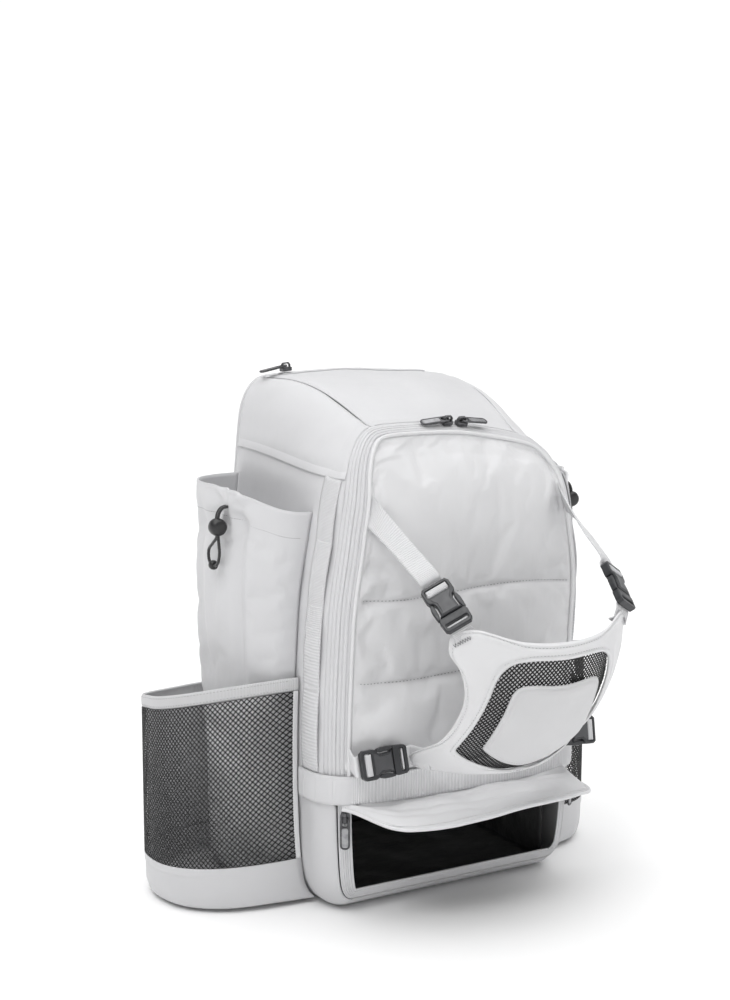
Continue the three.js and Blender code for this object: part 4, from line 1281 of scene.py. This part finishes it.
def net(name, wide, tall, pitch, strand, place, nodes):
    """Diamond net cut from a turned grid, laid on a surface of wide by tall millimetres."""
    mesh = bmesh.new()
    reach = (wide + tall) / 2 ** 0.5
    cells = math.ceil(reach / pitch * 2 ** 0.5)
    bmesh.ops.create_grid(mesh, x_segments=cells, y_segments=cells, size=reach / 2)
    bmesh.ops.rotate(mesh, verts=mesh.verts[:], matrix=Matrix.Rotation(math.pi / 4, 3, "Z"))
    for normal, limit in (((1, 0, 0), wide), ((-1, 0, 0), wide), ((0, 1, 0), tall), ((0, -1, 0), tall)):
        everything = mesh.verts[:] + mesh.edges[:] + mesh.faces[:]
        bmesh.ops.bisect_plane(
            mesh, geom=everything, plane_co=Vector(normal) * limit / 2, plane_no=normal, clear_outer=True
        )
    whole = [face for face in mesh.faces if face.calc_area() > pitch * pitch * 0.2]
    bmesh.ops.inset_individual(mesh, faces=whole, thickness=strand / 2, use_even_offset=True)
    bmesh.ops.delete(mesh, geom=whole, context="FACES")
    layer = mesh.loops.layers.uv.new("UVMap")
    for face in mesh.faces:
        for loop in face.loops:
            loop[layer].uv = loop.vert.co.xy * MM
    for vertex in mesh.verts:
        vertex.co = place(vertex.co.x / wide + 0.5, vertex.co.y / tall + 0.5) * MM
    return put(name, mesh, net_cloth, nodes, wall=0.5)


NET_END = 0.7


def part_of(place, start, end):
    """The stretch of a surface between two shares across it."""
    return lambda u, v: place(mix(start, end, u), v)


def rounded_band(place, side):
    """Surface with its middle raised a little over its two edges."""
    def raised(u, v):
        normal = normal_of(place, u, v, side < 0)
        return place(u, v) + normal * (1.3 * (1 - abs(2 * v - 1) ** 3) - 0.5)

    return raised


def pocket_edge(place, side):
    return lambda u, v: place(mix(0.0002, 0.008, u), v) + Vector((side * 0.5, -0.9, 0))


for tag, side in SIDES:
    base_mesh = cloth(96, 64, pocket_base(side, tag), flip=side < 0)
    put(f"pocket_base_cloth_{tag}", base_mesh, base_cloth, [f"pocket_base_{tag}"], wall=POUCH_WALL)
    wall = pocket_wall(side, tag, MESH_LOW, BINDING_LOW)
    wall_lattice = sampled(wall, 200, 12)
    around = length_of([wall(NET_END * k / 60, 0.5) for k in range(61)])
    front_wall = part_of(wall_lattice, 0, NET_END)
    net(f"pocket_net_{tag}", around, 150, 5.0, 0.95, front_wall, [f"pocket_mesh_{tag}"])
    rear_mesh = cloth(40, 30, part_of(wall, NET_END - 0.006, 1), flip=side < 0)
    put(f"pocket_rear_cloth_{tag}", rear_mesh, base_cloth, wall=1.4)
    band = rounded_band(sampled(pocket_wall(side, tag, BINDING_LOW, BINDING_HIGH), 160, 4), side)
    binding_mesh = cloth(220, 10, band, flip=side < 0)
    put(f"pocket_binding_band_{tag}", binding_mesh, binding_cloth_painted_shade, [f"pocket_binding_{tag}"], wall=2.4)
    for height in (0.2, 0.8):
        row = line_on(band, [(0.02, height), (0.5, height), (0.98, height)], 120, flip=side < 0)
        stitch(stitch_grey, row, 3.2, 2.2, 0.6)
    strip_mesh = cloth(6, 60, pocket_edge(wall, side), flip=side < 0)
    put(f"pocket_edge_{tag}", strip_mesh, pale_cloth, wall=1.0)

# Shoe compartment lining, an open box of loose black cloth
lining = bmesh.new()
bmesh.ops.create_cube(lining, size=1.0)
bmesh.ops.scale(lining, vec=(0.2305, 0.191, 0.0945), verts=lining.verts[:])
bmesh.ops.translate(lining, vec=(0, 0.0075, 0.058), verts=lining.verts[:])
open_front = [face for face in lining.faces if face.normal.y < -0.9]
bmesh.ops.delete(lining, geom=open_front, context="FACES_ONLY")
bmesh.ops.subdivide_edges(lining, edges=lining.edges[:], cuts=24, use_grid_fill=True)
bmesh.ops.reverse_faces(lining, faces=lining.faces[:])
lining.normal_update()
for vertex in lining.verts:
    spot = vertex.co / MM
    sag = 1.5 + soft_waves(spot, 30, 2.2, 21) + soft_waves(spot, 12, 0.8, 22)
    vertex.co += vertex.normal * sag * MM * smooth(-88, -60, spot.y)
put("shoe_lining_cloth", lining, black_lining, ["shoe_lining"], wall=1.2)

# Shoe flap lifted like an awning, piped along its edge and dark underneath
HINGE_Z = WEBBING_LOW + 3
HINGE_Y = front_face(HINGE_Z) - 1.5


def awning_back(u):
    x = mix(-131, 119, u)
    inset = min(1.0, (147 - abs(x)) / FRONT_RADIUS)
    rounding = FRONT_RADIUS * (1 - math.sin(math.acos(1 - inset)))
    return Vector((x, HINGE_Y + rounding, HINGE_Z))


def awning_edge(u):
    bow = power(1 - abs(2 * u - 1) ** 3, 0.6) * smooth(-0.02, 0.15, u)
    start = awning_back(u)
    lifted = 13 * smooth(0.2, 0.66, u) - 5 * smooth(0.85, 1, u)
    z = mix(HINGE_Z - 6, 99 + lifted - 4 * u + 1.2 * math.sin(u * 9) * bow, smooth(0, 0.12, u))
    return Vector((mix(-131, 122, u), start.y - 1.5 - 62 * bow - 26 * u * u, z))


def awning_side(end):
    return lambda v: awning_back(end).lerp(awning_edge(end), v)


AWNING_FOLDS = (
    (0.05, 0.3, 0.4, 0.62, 0.05, 2.6),
    (0.08, 0.55, 0.5, 0.82, 0.05, 2.0),
    (0.2, 0.16, 0.6, 0.42, 0.05, 2.4),
    (0.4, 0.6, 0.86, 0.74, 0.05, 2.2),
    (0.55, 0.2, 0.92, 0.48, 0.055, 2.4),
    (0.12, 0.1, 0.2, 0.7, 0.03, 1.8),
    (0.44, 0.08, 0.42, 0.6, 0.035, 1.8),
    (0.78, 0.1, 0.74, 0.7, 0.035, 1.8),
)


def awning_shape(point, u, v):
    arch = power(math.sin(u * math.pi), 0.7)
    rim = 1 - 0.85 * smooth(0.75, 1.0, v)
    point.z += 6 * math.sin(v * math.pi * 0.9) * arch + 1.6 * math.sin(u * 16 + v * 3) * v * arch * rim
    point.z -= 5.5 * hump(v, 0.15, 0.1) * smooth(0, 0.06, min(u, 1 - u))
    loose = smooth(0, 0.1, v) * arch * rim
    point.z += (soft_waves(point, 24, 2.4, 31) + soft_waves(point, 11, 0.9, 32)) * loose
    point.z -= crease(u, v, AWNING_FOLDS) * loose
    return point


awning = spanned(awning_back, awning_edge, awning_side(0), awning_side(1), awning_shape)
awning_surface = sampled(awning, 150, 60)
awning_mesh = cloth(120, 48, awning_surface, flip=True)
shoe_flap = put("shoe_flap_cloth", awning_mesh, pale_cloth, ["shoe_flap"])
thicken(shoe_flap, 1.6)


def awning_under(u, v):
    return awning_surface(mix(0.01, 0.99, u), mix(0.02, 0.97, v)) - Vector((0, 0, 2.3))


put("shoe_flap_lining", cloth(64, 26, awning_under), black_lining, wall=0.6)
edge_line = [awning_surface(k / 120, 1.0) + Vector((0, -0.8, -0.6)) for k in range(121)]
rope("shoe_flap_piping", edge_line, 1.9, pale_cloth)
inner_line = [awning_surface(k / 120, 0.93) + Vector((0, -0.2, 0.1)) for k in range(2, 119)]
rope("shoe_flap_seam", inner_line, 0.8, pale_cloth)

# Helmet flap with its net window and centre patch
flap_y = column(FLAP_LINE, "q", "y")
flap_z = column(FLAP_LINE, "q", "z")
flap_radius = column(FLAP_LINE, "q", "radius")


def flap_point(p, q, lift=0.0):
    radius = flap_radius(q)
    angle = p / radius
    reach = radius + lift
    x = FLAP_X + reach * math.sin(angle)
    y = flap_y(q) + radius - reach * math.cos(angle)
    return Vector((x, y, flap_z(q)))


def flap_normal(spot):
    return flap_point(spot.x, spot.y, 1.0) - flap_point(spot.x, spot.y)


def mirrored(rows, p, q):
    half = [Vector((row[p], row[q], 0)) for row in rows]
    return half + [Vector((-point.x, point.y, 0)) for point in reversed(half[1:-1])]


RING = 260
FLAP_SEAM = 4.6
flap_outer = rounded_loop(mirrored(FLAP_EDGE, "outer_p", "outer_q"), RING)
flap_window = rounded_loop(mirrored(FLAP_EDGE, "window_p", "window_q"), RING)


def flap_flat(u, v):
    k = u * RING
    i = int(k) % RING
    outer = flap_outer[i].lerp(flap_outer[(i + 1) % RING], k - int(k))
    return outer.lerp(flap_window[i].lerp(flap_window[(i + 1) % RING], k - int(k)), v)


def flap_place(u, v):
    spot = flap_flat(u, v)
    wide = (flap_flat(u, 1) - flap_flat(u, 0)).length
    away = min(v, 1 - v) * wide
    lift = 0.5 - 1.6 * (1 - smooth(0, 2.2, away)) - 1.3 * hump(away, FLAP_SEAM, 1.1)
    lift += 0.9 * hump(away, 9, 5)
    lift += soft_waves(flap_point(spot.x, spot.y), 30, 1.1, 41) * smooth(4, 12, away)
    return flap_point(spot.x, spot.y, lift)


flap_mesh = cloth(RING, 34, flap_place, flip=True, ring=True)
flap = put("helmet_flap_cloth", flap_mesh, pale_cloth, ["helmet_flap"])
thicken(flap, 2.0)


def ring_line(outer, count=520):
    """Line of sewing round the flap, along its outer edge or along its window."""
    path = []
    for k in range(count + 1):
        u = k / count % 1.0
        wide = (flap_flat(u, 1) - flap_flat(u, 0)).length
        v = FLAP_SEAM / wide if outer else 1 - FLAP_SEAM / wide
        path.append((flap_place(u, v), flap_normal(flap_flat(u, v))))
    return path


stitch(stitch_grey, ring_line(True), wide=0.6)
stitch(stitch_grey, ring_line(False), wide=0.6)

NET_WIDE = 164
NET_TALL = 156
centre_q = sum(point.y for point in flap_window) / RING


def net_place(u, v):
    return flap_point((u - 0.5) * NET_WIDE, centre_q + (v - 0.5) * NET_TALL, -4.6)


def inside_window(p, q, grow):
    """Whether a place lies inside the window outline grown about its centre."""
    inside = False
    for a, b in zip(flap_window, flap_window[1:] + flap_window[:1]):
        ay, by = centre_q + (a.y - centre_q) * grow, centre_q + (b.y - centre_q) * grow
        if (ay > q) != (by > q):
            cross = a.x * grow + (q - ay) / (by - ay) * (b.x - a.x) * grow
            if p < cross:
                inside = not inside
    return inside


window_net = net("helmet_net", NET_WIDE, NET_TALL, 4.4, 1.35, net_place, ["helmet_mesh"])
trim = bmesh.new()
trim.from_mesh(window_net.data)
outside = []
uv_layer = trim.loops.layers.uv.active
for face in trim.faces:
    uv = face.loops[0][uv_layer].uv / MM
    if not inside_window(uv.x, centre_q + uv.y, 1.06):
        outside.append(face)
bmesh.ops.delete(trim, geom=outside, context="FACES")
trim.to_mesh(window_net.data)
trim.free()

PATCH_RING = 160
PATCH_REACH = 55
PATCH_SEAM = 4.2
patch_outline = rounded_loop(mirrored(PATCH_EDGE, "p", "q"), PATCH_RING)
patch_centre = sum((point for point in patch_outline), Vector()) / PATCH_RING


def patch_place(u, v):
    spot = patch_centre.lerp(patch_outline[int(round(u * PATCH_RING)) % PATCH_RING], v)
    away = (1 - v) * PATCH_REACH
    lift = 0.4 - 1.6 * (1 - smooth(0, 2.0, away)) - 1.2 * hump(away, PATCH_SEAM, 1.2)
    lift += 0.8 * hump(away, 9, 5)
    lift += soft_waves(flap_point(spot.x, spot.y), 26, 0.9, 51) * smooth(4, 12, away)
    lift -= 2.2 * smooth(10, 40, away)
    return flap_point(spot.x, spot.y, lift)


patch_mesh = cloth(PATCH_RING, 44, patch_place, ring=True)
put("helmet_patch_cloth", patch_mesh, patch_cloth_painted_shade, ["helmet_patch"], wall=1.6)
patch_line = []
sewn = 1 - PATCH_SEAM / PATCH_REACH
for k in range(PATCH_RING + 1):
    spot = patch_centre.lerp(patch_outline[k % PATCH_RING], sewn)
    patch_line.append((patch_place(k / PATCH_RING, sewn), flap_normal(spot)))
stitch(stitch_grey, patch_line, wide=0.6)


# Fastened side-release buckles, length along x, with a webbing slot at each end
BUCKLE_LONG = 47
SLOT_X = 18


def both_sides(upper):
    """Closed outline from its upper half and the mirrored lower half."""
    return upper + [(x, -y) for x, y in reversed(upper)]


SHELL = both_sides(
    [(-8, 11.4), (-6, 9.0), (3, 8.4), (6.4, 9.6), (8.4, 13.0), (11, 14), (20.5, 13.8), (23.5, 11.4)]
)
STEM = both_sides([(-23.5, 11), (-21, 13.4), (-12, 14), (-9.4, 13), (-9, 11.4)])
PRONG = [(-9.6, 11.9), (-9.6, 14.1), (-4, 14.6), (2, 14.5), (6, 13.4), (7.6, 11.2), (4, 10), (-4, 10.4)]
FACE = both_sides([(-6.6, 8.0), (-3, 6.6), (5, 6.4), (9, 9.4), (11.4, 9.8)])


def width_at(place):
    """Width of the webbing across a buckle."""
    return place.to_3x3() @ Vector((0, STRAP_WIDE, 0))


def buckle(name, place):
    shell = bmesh.new()
    slot_in = rounded_box(7.2, 21.5, 1.2, (16.8, 0), 2)
    slot_out = rounded_box(3.6, 21.5, 1.2, (-SLOT_X, 0), 2)
    plate(shell, SHELL, [slot_in], -4, 4, 0.9, place)
    plate(shell, STEM, [slot_out], -3.4, 3.4, 0.9, place)
    plate(shell, PRONG, [], -2.8, 2.8, 0.8, place)
    other_prong = [(x, -y) for x, y in PRONG]
    plate(shell, other_prong, [], -2.8, 2.8, 0.8, place)
    put(f"{name}_shell", shell, buckle_plastic, [name], shaded=False)
    face = bmesh.new()
    plate(face, FACE, [], 3.4, 4.7, 0.6, place)
    put(f"{name}_face", face, buckle_face_painted_light, shaded=False)
    turn = smooth_path([place @ Vector((x, 0, z)) for x, z in IN_SLOT])
    strap(f"{name}_turn", turn, width_at(place), strap_cloth, wall=1.4, along=30)


TAB_TURN = ((31, -12), (27.5, -9), (24, -6.2), (20.5, -4.8), (18.2, -2), (18, 1.8))
SEAM_TAB = ((26.5, -4.8), (23, -5.4), (20.5, -4.6))
ARM_TURN = ((34, -9), (28, -7.2), (23.5, -5.6), (20, -4.6), (18.2, -2), (18, 1.8))
UNDER_BAR = ((34, -1.5), (27, -4.4), (22.5, -5.4), (20.5, -4.6))
UPPER_ROOTS = ((393, 1.62, -6), (391, 1.7, -2.5), (386, 1.79, 4.5))
LOW_ROOTS = ((157, 1.62, -4), (157, 1.71, -1))
IN_SLOT = ((20.0, -4.0), (19.6, 0.5), (18.4, 3.0), (16.8, 3.5), (15.2, 3.0), (14.0, 0.5), (13.6, -3.0))


def strap_path(roots, place, end, spots, between=(0.34, 0.68)):
    """Smooth line from a strap's sewn root to spots that are given in a buckle's own frame."""
    far = [place @ Vector((end * x, 0, z)) for x, z in spots]
    return smooth_path([*roots, *(roots[-1].lerp(far[0], share) for share in between), *far])


def sewn_roots(side, roots):
    return [body_point(side, step_at_height(z, 1), depth, lift) for z, depth, lift in roots]


def strap_place(path, across, root_across):
    """Band along a path, with its width turning from the root's direction into the far end's."""
    def place(u, v):
        return path(u) + root_across.lerp(across, smooth(0.08, 0.5, u)) * (v - 0.5)

    return place


def strap(name, path, across, material, nodes=(), wall=WEBBING_WALL, flip=False, along=90, root=None):
    """Piece of webbing along a path, the width at its root given where it differs."""
    surface = strap_place(path, across, root or across)
    put(name, cloth(along, 10, surface, flip=flip), material, nodes, wall=wall)


def zig_zag(side):
    """Sewing that holds the strap's end under the corner of the flap."""
    corners = []
    for k in range(15):
        along = mix(-8.5, 8.5, k / 14)
        sway = 2 if k % 2 else -2
        p = 97 + 0.87 * along - 0.5 * sway
        corners.append(flap_point(side * p, 168.5 - 0.5 * along - 0.87 * sway, 2.8))
    normal = flap_point(side * 97, 168, 2) - flap_point(side * 97, 168, 1)
    for a, b in zip(corners, corners[1:]):
        stitch_between(stitch_grey, a, b, normal, 0.9)


def zip_seam(side, z, depth):
    """Direction of the door's edge at a height."""
    step = step_at_height(z, 1)
    return (body_point(side, step + 0.1, depth) - body_point(side, step - 0.1, depth)).normalized()


for tag, side in SIDES:
    tab = flap_point(side * 93, 172, 2.4)
    anchor = body_point(side, step_at_height(402, 1), 1.72, 9)
    along = (anchor - tab).normalized()
    outward = Vector((side * 0.5, -0.72, 0.48))
    upper = frame_at(tab + along * (BUCKLE_LONG / 2 + 10) + outward * 7, along, outward)
    buckle(f"upper_buckle_{tag}", upper)
    width = width_at(upper)
    upper_path = strap_path(sewn_roots(side, UPPER_ROOTS), upper, 1, UNDER_BAR)
    cut = zip_seam(side, 391, 1.7) * 30
    root = cut if cut.dot(width) > 0 else -cut
    strap(f"upper_strap_band_{tag}", upper_path, width, strap_cloth, [f"upper_strap_{tag}"], root=root)
    tab_path = strap_path([flap_point(side * 92, 168, -7)], upper, -1, TAB_TURN, (0.5,))
    strap(f"flap_tab_band_{tag}", tab_path, width, strap_cloth, [f"flap_tab_{tag}"], flip=True)
    zig_zag(side)

    arm_tip = flap_point(side * 118, 21, 2.6)
    seam = Vector((side * 121, front_face(153) - 12.5, 153))
    low_along = (seam - arm_tip).normalized()
    low_out = Vector((side * 0.32, -0.92, 0.2))
    lower = frame_at(arm_tip + low_along * (BUCKLE_LONG / 2 + 3) + low_out * 3.5, low_along, low_out)
    buckle(f"lower_buckle_{tag}", lower)
    low_width = width_at(lower)
    low_path = strap_path(sewn_roots(side, LOW_ROOTS), lower, 1, SEAM_TAB, (0.5,))
    wider = low_width * 1.35
    strap(f"lower_strap_band_{tag}", low_path, low_width, pale_cloth, [f"lower_strap_{tag}"], root=wider)
    arm_path = strap_path([flap_point(side * 98, 21, -4)], lower, -1, ARM_TURN, (0.5,))
    strap(f"flap_arm_loop_{tag}", arm_path, low_width, pale_cloth, flip=True)

# Zip sliders with an arched bail, and their pulls: a wire loop with a plate let into it
SLIDER = [(-5.5, 3.2), (-2, 4.6), (5.5, 4.6), (5.5, -4.6), (-2, -4.6), (-5.5, -3.2)]
BAIL = [(-5, 3), (-5, 6.2), (-3.2, 8.6), (3.2, 8.6), (5, 6.2), (5, 3)]
BAIL_HOLE = [(3.4, 3.6), (3.4, 6), (2.4, 7.2), (-2.4, 7.2), (-3.4, 6), (-3.4, 3.6)]
PULL_LONG = 31
PULL_HEIGHT = 5.4


def zip_set(name, origin, lengthwise, upward, droop):
    place = frame_at(origin, lengthwise, upward)
    slider = bmesh.new()
    plate(slider, SLIDER, [], -0.4, 3.6, 0.7, place)
    upright = place @ Matrix.Rotation(math.pi / 2, 4, "X")
    plate(slider, BAIL + BAIL_HOLE, [], -1.5, 1.5, 0.5, upright)
    put(f"{name}_slider_metal", slider, pull_metal, [f"{name}_slider"], shaded=False)
    lying = place @ Matrix.Translation((0, 0, PULL_HEIGHT)) @ Matrix.Rotation(droop, 4, "Y")
    loop = bmesh.new()
    middle = PULL_LONG / 2 - 1
    outline = rounded_box(PULL_LONG, 9.4, 4, (middle, 0))
    bar = rounded_box(6.4, 4.6, 0.8, (4.2, 0), 2)
    window = rounded_box(18.6, 5.6, 1.8, (18.6, 0))
    plate(loop, outline, [bar, window], -1, 1, 0.8, lying)
    put(f"{name}_pull_loop", loop, pull_metal, [f"{name}_pull"], f"{name}_pull_body", shaded=False)
    insert = bmesh.new()
    plate(insert, rounded_box(18.9, 5.9, 1.8, (18.6, 0)), [], -0.6, 0.6, 0.3, lying)
    put(f"{name}_pull_insert", insert, pull_light, (), f"{name}_pull_body", shaded=False)


MAIN_PIVOTS = {"left": Vector((6.01, -77.04, 464.75)), "right": Vector((21.95, -77.04, 463.25))}
MAIN_UP = Vector((0, -0.442, 0.897))
DROOP = math.radians(6)
for tag, side in SIDES:
    spot = MAIN_PIVOTS[tag] - MAIN_UP * PULL_HEIGHT
    zip_set(f"main_zip_{tag}", spot, Vector((side, 0, 0)), MAIN_UP, DROOP)
    low = step_at_height(100, 1)
    shoe_spot = body_point(side, low, 1.64, 0.5)
    zip_set(f"shoe_zip_{tag}", shoe_spot, Vector((0, 0, -1)), body_normal(side, low, 1.64), 0.0)
TOP_ZIP_DEPTH = 0.09
TOP_PULL_STEP = 7.27


def top_zip_place(u, v):
    """Tape that follows the top panel's own unevenness."""
    across = mix(0.08, 0.8, u)
    step = top_step(across)
    depth = TOP_ZIP_DEPTH + mix(-0.035, 0.035, v)
    share = (depth - REAR_SEAM) / (zip_outer(step) + UNDER_ZIP - REAR_SEAM)
    normal = body_normal(side_of(across), step, depth)
    return top_surface(across, share) + normal * (1.1 + 0.7 * zip_ridge(v))


top_tape_mesh = cloth(120, 24, top_zip_place, flip=True)
put("top_zip_tape_cloth", top_tape_mesh, tape_cloth, ["top_zip_tape"], wall=1.0)
top_spot = body_point(LEFT, TOP_PULL_STEP, TOP_ZIP_DEPTH, 2.9)
top_up = body_normal(LEFT, TOP_PULL_STEP, TOP_ZIP_DEPTH)
zip_set("top_zip", top_spot, Vector((-1, 0, -0.1)), top_up, DROOP)

# Drawcords with lock and end bead hanging from the sleeve hems
CORD_BASE_X = {"left": 199.4, "right": 201}
CORD_ROUTE = table(
    "y z lift",
    (-8.8, 385, -3.2),
    (-8.8, 384, 1.6),
    (-8.8, 380.5, 5),
    (-8.8, 375, 6.8),
    (-8.8, 366, 6.8),
    (-8.8, 356, 6.8),
    (-9.6, 349, 6.6),
    (-9.6, 341, 6.2),
    (-6, 332, 6),
    (0, 328, 6),
    (5, 328, 6),
    (10, 328, 6),
    (15, 333, 6),
    (14, 342, 6.2),
    (3, 350, 6.6),
    (-5.2, 356.5, 6.8),
    (-5.2, 366, 6.8),
    (-5.2, 375, 6.8),
    (-5.2, 380.5, 5),
    (-5.2, 384, 1.6),
    (-5.2, 385, -3.2),
)
LOCK_PROFILE = (
    (0, -7.5), (4.5, -7.5), (6.8, -6.6), (8.2, -4), (8.6, -0.5), (8.2, 3.2), (7, 5.8), (5.5, 6.5),
    (5.2, 9), (4.4, 9.6), (0, 9.6),
)
LOCK_SPOT = (-7, 366, 6.8)
BEAD_SPOT = (5, 328, 6)
BEAD_PROFILE = ((2.0, -3.6), (3.4, -3.5), (4.4, -2), (4.7, 0), (4.4, 2), (3.4, 3.5), (2.0, 3.6))


def spun(profile_line, place, steps=28):
    """Solid of revolution about y from (radius, y) pairs."""
    part = bmesh.new()
    corners = [part.verts.new((radius, y, 0)) for radius, y in profile_line]
    edges = [part.edges.new(pair) for pair in zip(corners, corners[1:])]
    bmesh.ops.spin(
        part, geom=corners + edges, cent=(0, 0, 0), axis=(0, 1, 0), angle=2 * math.pi, steps=steps,
        use_merge=True,
    )
    bmesh.ops.remove_doubles(part, verts=part.verts[:], dist=0.001)
    bmesh.ops.recalc_face_normals(part, faces=part.faces[:])
    bmesh.ops.transform(part, matrix=Matrix.Diagonal((MM, MM, MM, 1)) @ place, verts=part.verts[:])
    return part


def cord_place(side, tag, y, z, lift):
    return Vector((side * (CORD_BASE_X[tag] + lift), y, z))


for tag, side in SIDES:
    route = [cord_place(side, tag, row["y"], row["z"], row["lift"]) for row in CORD_ROUTE]
    walk = smooth_path(route)
    fine = [walk(k / 160) for k in range(161)]
    cord = rope(
        f"drawcord_braid_{tag}", fine, CORD_WIDE / 2, cord_braid, nodes=[f"drawcord_{tag}"], resolution=4
    )
    lock = spun(LOCK_PROFILE, Matrix.Translation(cord_place(side, tag, *LOCK_SPOT)))
    lock_piece = put(f"cord_lock_ball_{tag}", lock, cord_plastic, [f"cord_lock_{tag}"])
    bead = spun(BEAD_PROFILE, Matrix.Translation(cord_place(side, tag, *BEAD_SPOT)), 20)
    bead_piece = put(f"cord_end_bead_{tag}", bead, cord_plastic, [f"cord_end_{tag}"])
    length_of(fine) * MM

# Padded shoulder straps behind the back panel, with webbing down to the lower corners
STRAP_LINE = (
    (63.5, 116, 465), (64, 131.5, 462), (66, 152, 457), (70, 168, 420), (76, 174, 360), (84, 170, 290),
    (92, 158, 220), (98, 146, 168),
)
WEB_LINE = ((99, 139, 162), (106, 132, 110), (112, 123.6, 52))
LOOP_LINE = (
    (-26, 124.5, 446), (-25, 134, 452), (-18, 147, 458), (0, 152, 461), (18, 147, 458), (25, 134, 452),
    (26, 124.5, 446),
)
LOOP_ACROSS = Vector((0, -0.5, 0.85))
LOOP_WIDE = 24
SIDEWAYS = Vector((1, 0, 0))
SHOULDER_WEB = Vector((25, 0, 0))


def path_on(side, line):
    return smooth_path([Vector((side * x, y, z)) for x, y, z in line])


def pad_place(path):
    """Flat rounded tube round a path, thinner towards its two sides and closed at its ends."""
    def place(u, v):
        end = power(1 - abs(2 * v - 1) ** 16, 0.5)
        angle = 2 * math.pi * u
        along = direction(path, v)
        across = squared(SIDEWAYS, along)
        outward = across.cross(along)
        half = mix(33, 26, v) * end
        flat = math.copysign(abs(math.cos(angle)) ** 0.55, math.cos(angle))
        rounded = math.copysign(abs(math.sin(angle)) ** 0.8, math.sin(angle))
        thick = mix(1.6, 4.5, smooth(1.0, 0.72, abs(flat))) * end
        return path(v) + across * flat * half + outward * rounded * thick

    return place


for tag, side in SIDES:
    pad_surface = pad_place(path_on(side, STRAP_LINE))
    pad_mesh = cloth(64, 140, pad_surface, ring=True)
    pad = put(f"shoulder_strap_pad_{tag}", pad_mesh, body_cloth, [f"shoulder_strap_{tag}"])
    for edge_name, edge, row in (("inner", 0.0, 0.13), ("outer", 0.5, 0.37)):
        edge_line = [pad_surface(edge, mix(0.03, 0.985, k / 120)) for k in range(121)]
        rope(f"shoulder_strap_edge_{tag}_{edge_name}", edge_line, 1.7, binding_cloth_painted_shade)
        sewn_line = line_on(pad_surface, [(row, 0.12), (row, 0.5), (row, 0.95)], 200)
        stitch(stitch_grey, sewn_line, pitch=3.6)
    web = path_on(side, WEB_LINE)
    strap(f"shoulder_webbing_band_{tag}", web, SHOULDER_WEB, strap_cloth, [f"shoulder_webbing_{tag}"])
loop_path = path_on(RIGHT, LOOP_LINE)


def loop_place(u, v):
    across = squared(LOOP_ACROSS, direction(loop_path, u))
    return loop_path(u) + across * ((v - 0.5) * LOOP_WIDE)


put("haul_loop_band", cloth(80, 10, loop_place), strap_cloth, ["haul_loop"], wall=2.4)

# Sewing thread
put("thread_pale", stitch_pale, thread_cloth)
put("thread_grey", stitch_grey, dark_thread)

# Floor and soft studio light
floor_mesh = bmesh.new()
bmesh.ops.create_grid(floor_mesh, x_segments=1, y_segments=1, size=30.0)
floor_data = bpy.data.meshes.new("floor")
floor_mesh.to_mesh(floor_data)
floor_mesh.free()
floor = bpy.data.objects.new("floor", floor_data)
bpy.context.scene.collection.objects.link(floor)
floor_paint = Finish("floor", (0.97, 0.97, 0.97), 0.9)
floor_paint.tint(floor_paint.cloud(2.0), (0.965, 0.965, 0.965), (0.975, 0.975, 0.975))
floor_data.materials.append(floor_paint.material)


def area_light(name, place, aim, size, power_w):
    data = bpy.data.lights.new(name, "AREA")
    data.shape = "RECTANGLE"
    data.size, data.size_y = size
    data.energy = power_w
    lamp = bpy.data.objects.new(name, data)
    lamp.location = place
    lamp.rotation_euler = (Vector(aim) - Vector(place)).to_track_quat("-Z", "Y").to_euler()
    bpy.context.scene.collection.objects.link(lamp)


area_light("key", (-1.2, -0.8, 1.9), (0, 0, 0.2), (0.7, 0.7), 8)


def studio_light(middle, above, horizon):
    """Soft surround, the same from every side: pale at the horizon, dimmer above it, bright overhead."""
    world = bpy.data.worlds.new("studio")
    world.use_nodes = True
    nodes, links = world.node_tree.nodes, world.node_tree.links
    coordinates = nodes.new("ShaderNodeTexCoord")
    height = nodes.new("ShaderNodeSeparateXYZ")
    links.new(coordinates.outputs["Generated"], height.inputs[0])
    total = nodes.new("ShaderNodeMath")
    total.operation = "ADD"
    overhead = (0.5, 0.9, middle, middle + above)
    low_down = (0.16, 0.3, horizon, 0.0)
    for k, (start, end, first, last) in enumerate((overhead, low_down)):
        spread = nodes.new("ShaderNodeMapRange")
        spread.interpolation_type = "SMOOTHSTEP"
        spread.inputs["From Min"].default_value = start
        spread.inputs["From Max"].default_value = end
        spread.inputs["To Min"].default_value = first
        spread.inputs["To Max"].default_value = last
        links.new(height.outputs["Z"], spread.inputs["Value"])
        links.new(spread.outputs["Result"], total.inputs[k])
    background = nodes["Background"]
    background.inputs["Color"].default_value = (1.0, 1.0, 1.0, 1)
    links.new(total.outputs[0], background.inputs["Strength"])
    bpy.context.scene.world = world


studio_light(0.16, 1.96, 0.88)
bpy.context.scene.view_settings.view_transform = "Standard"

low, high = cad_box
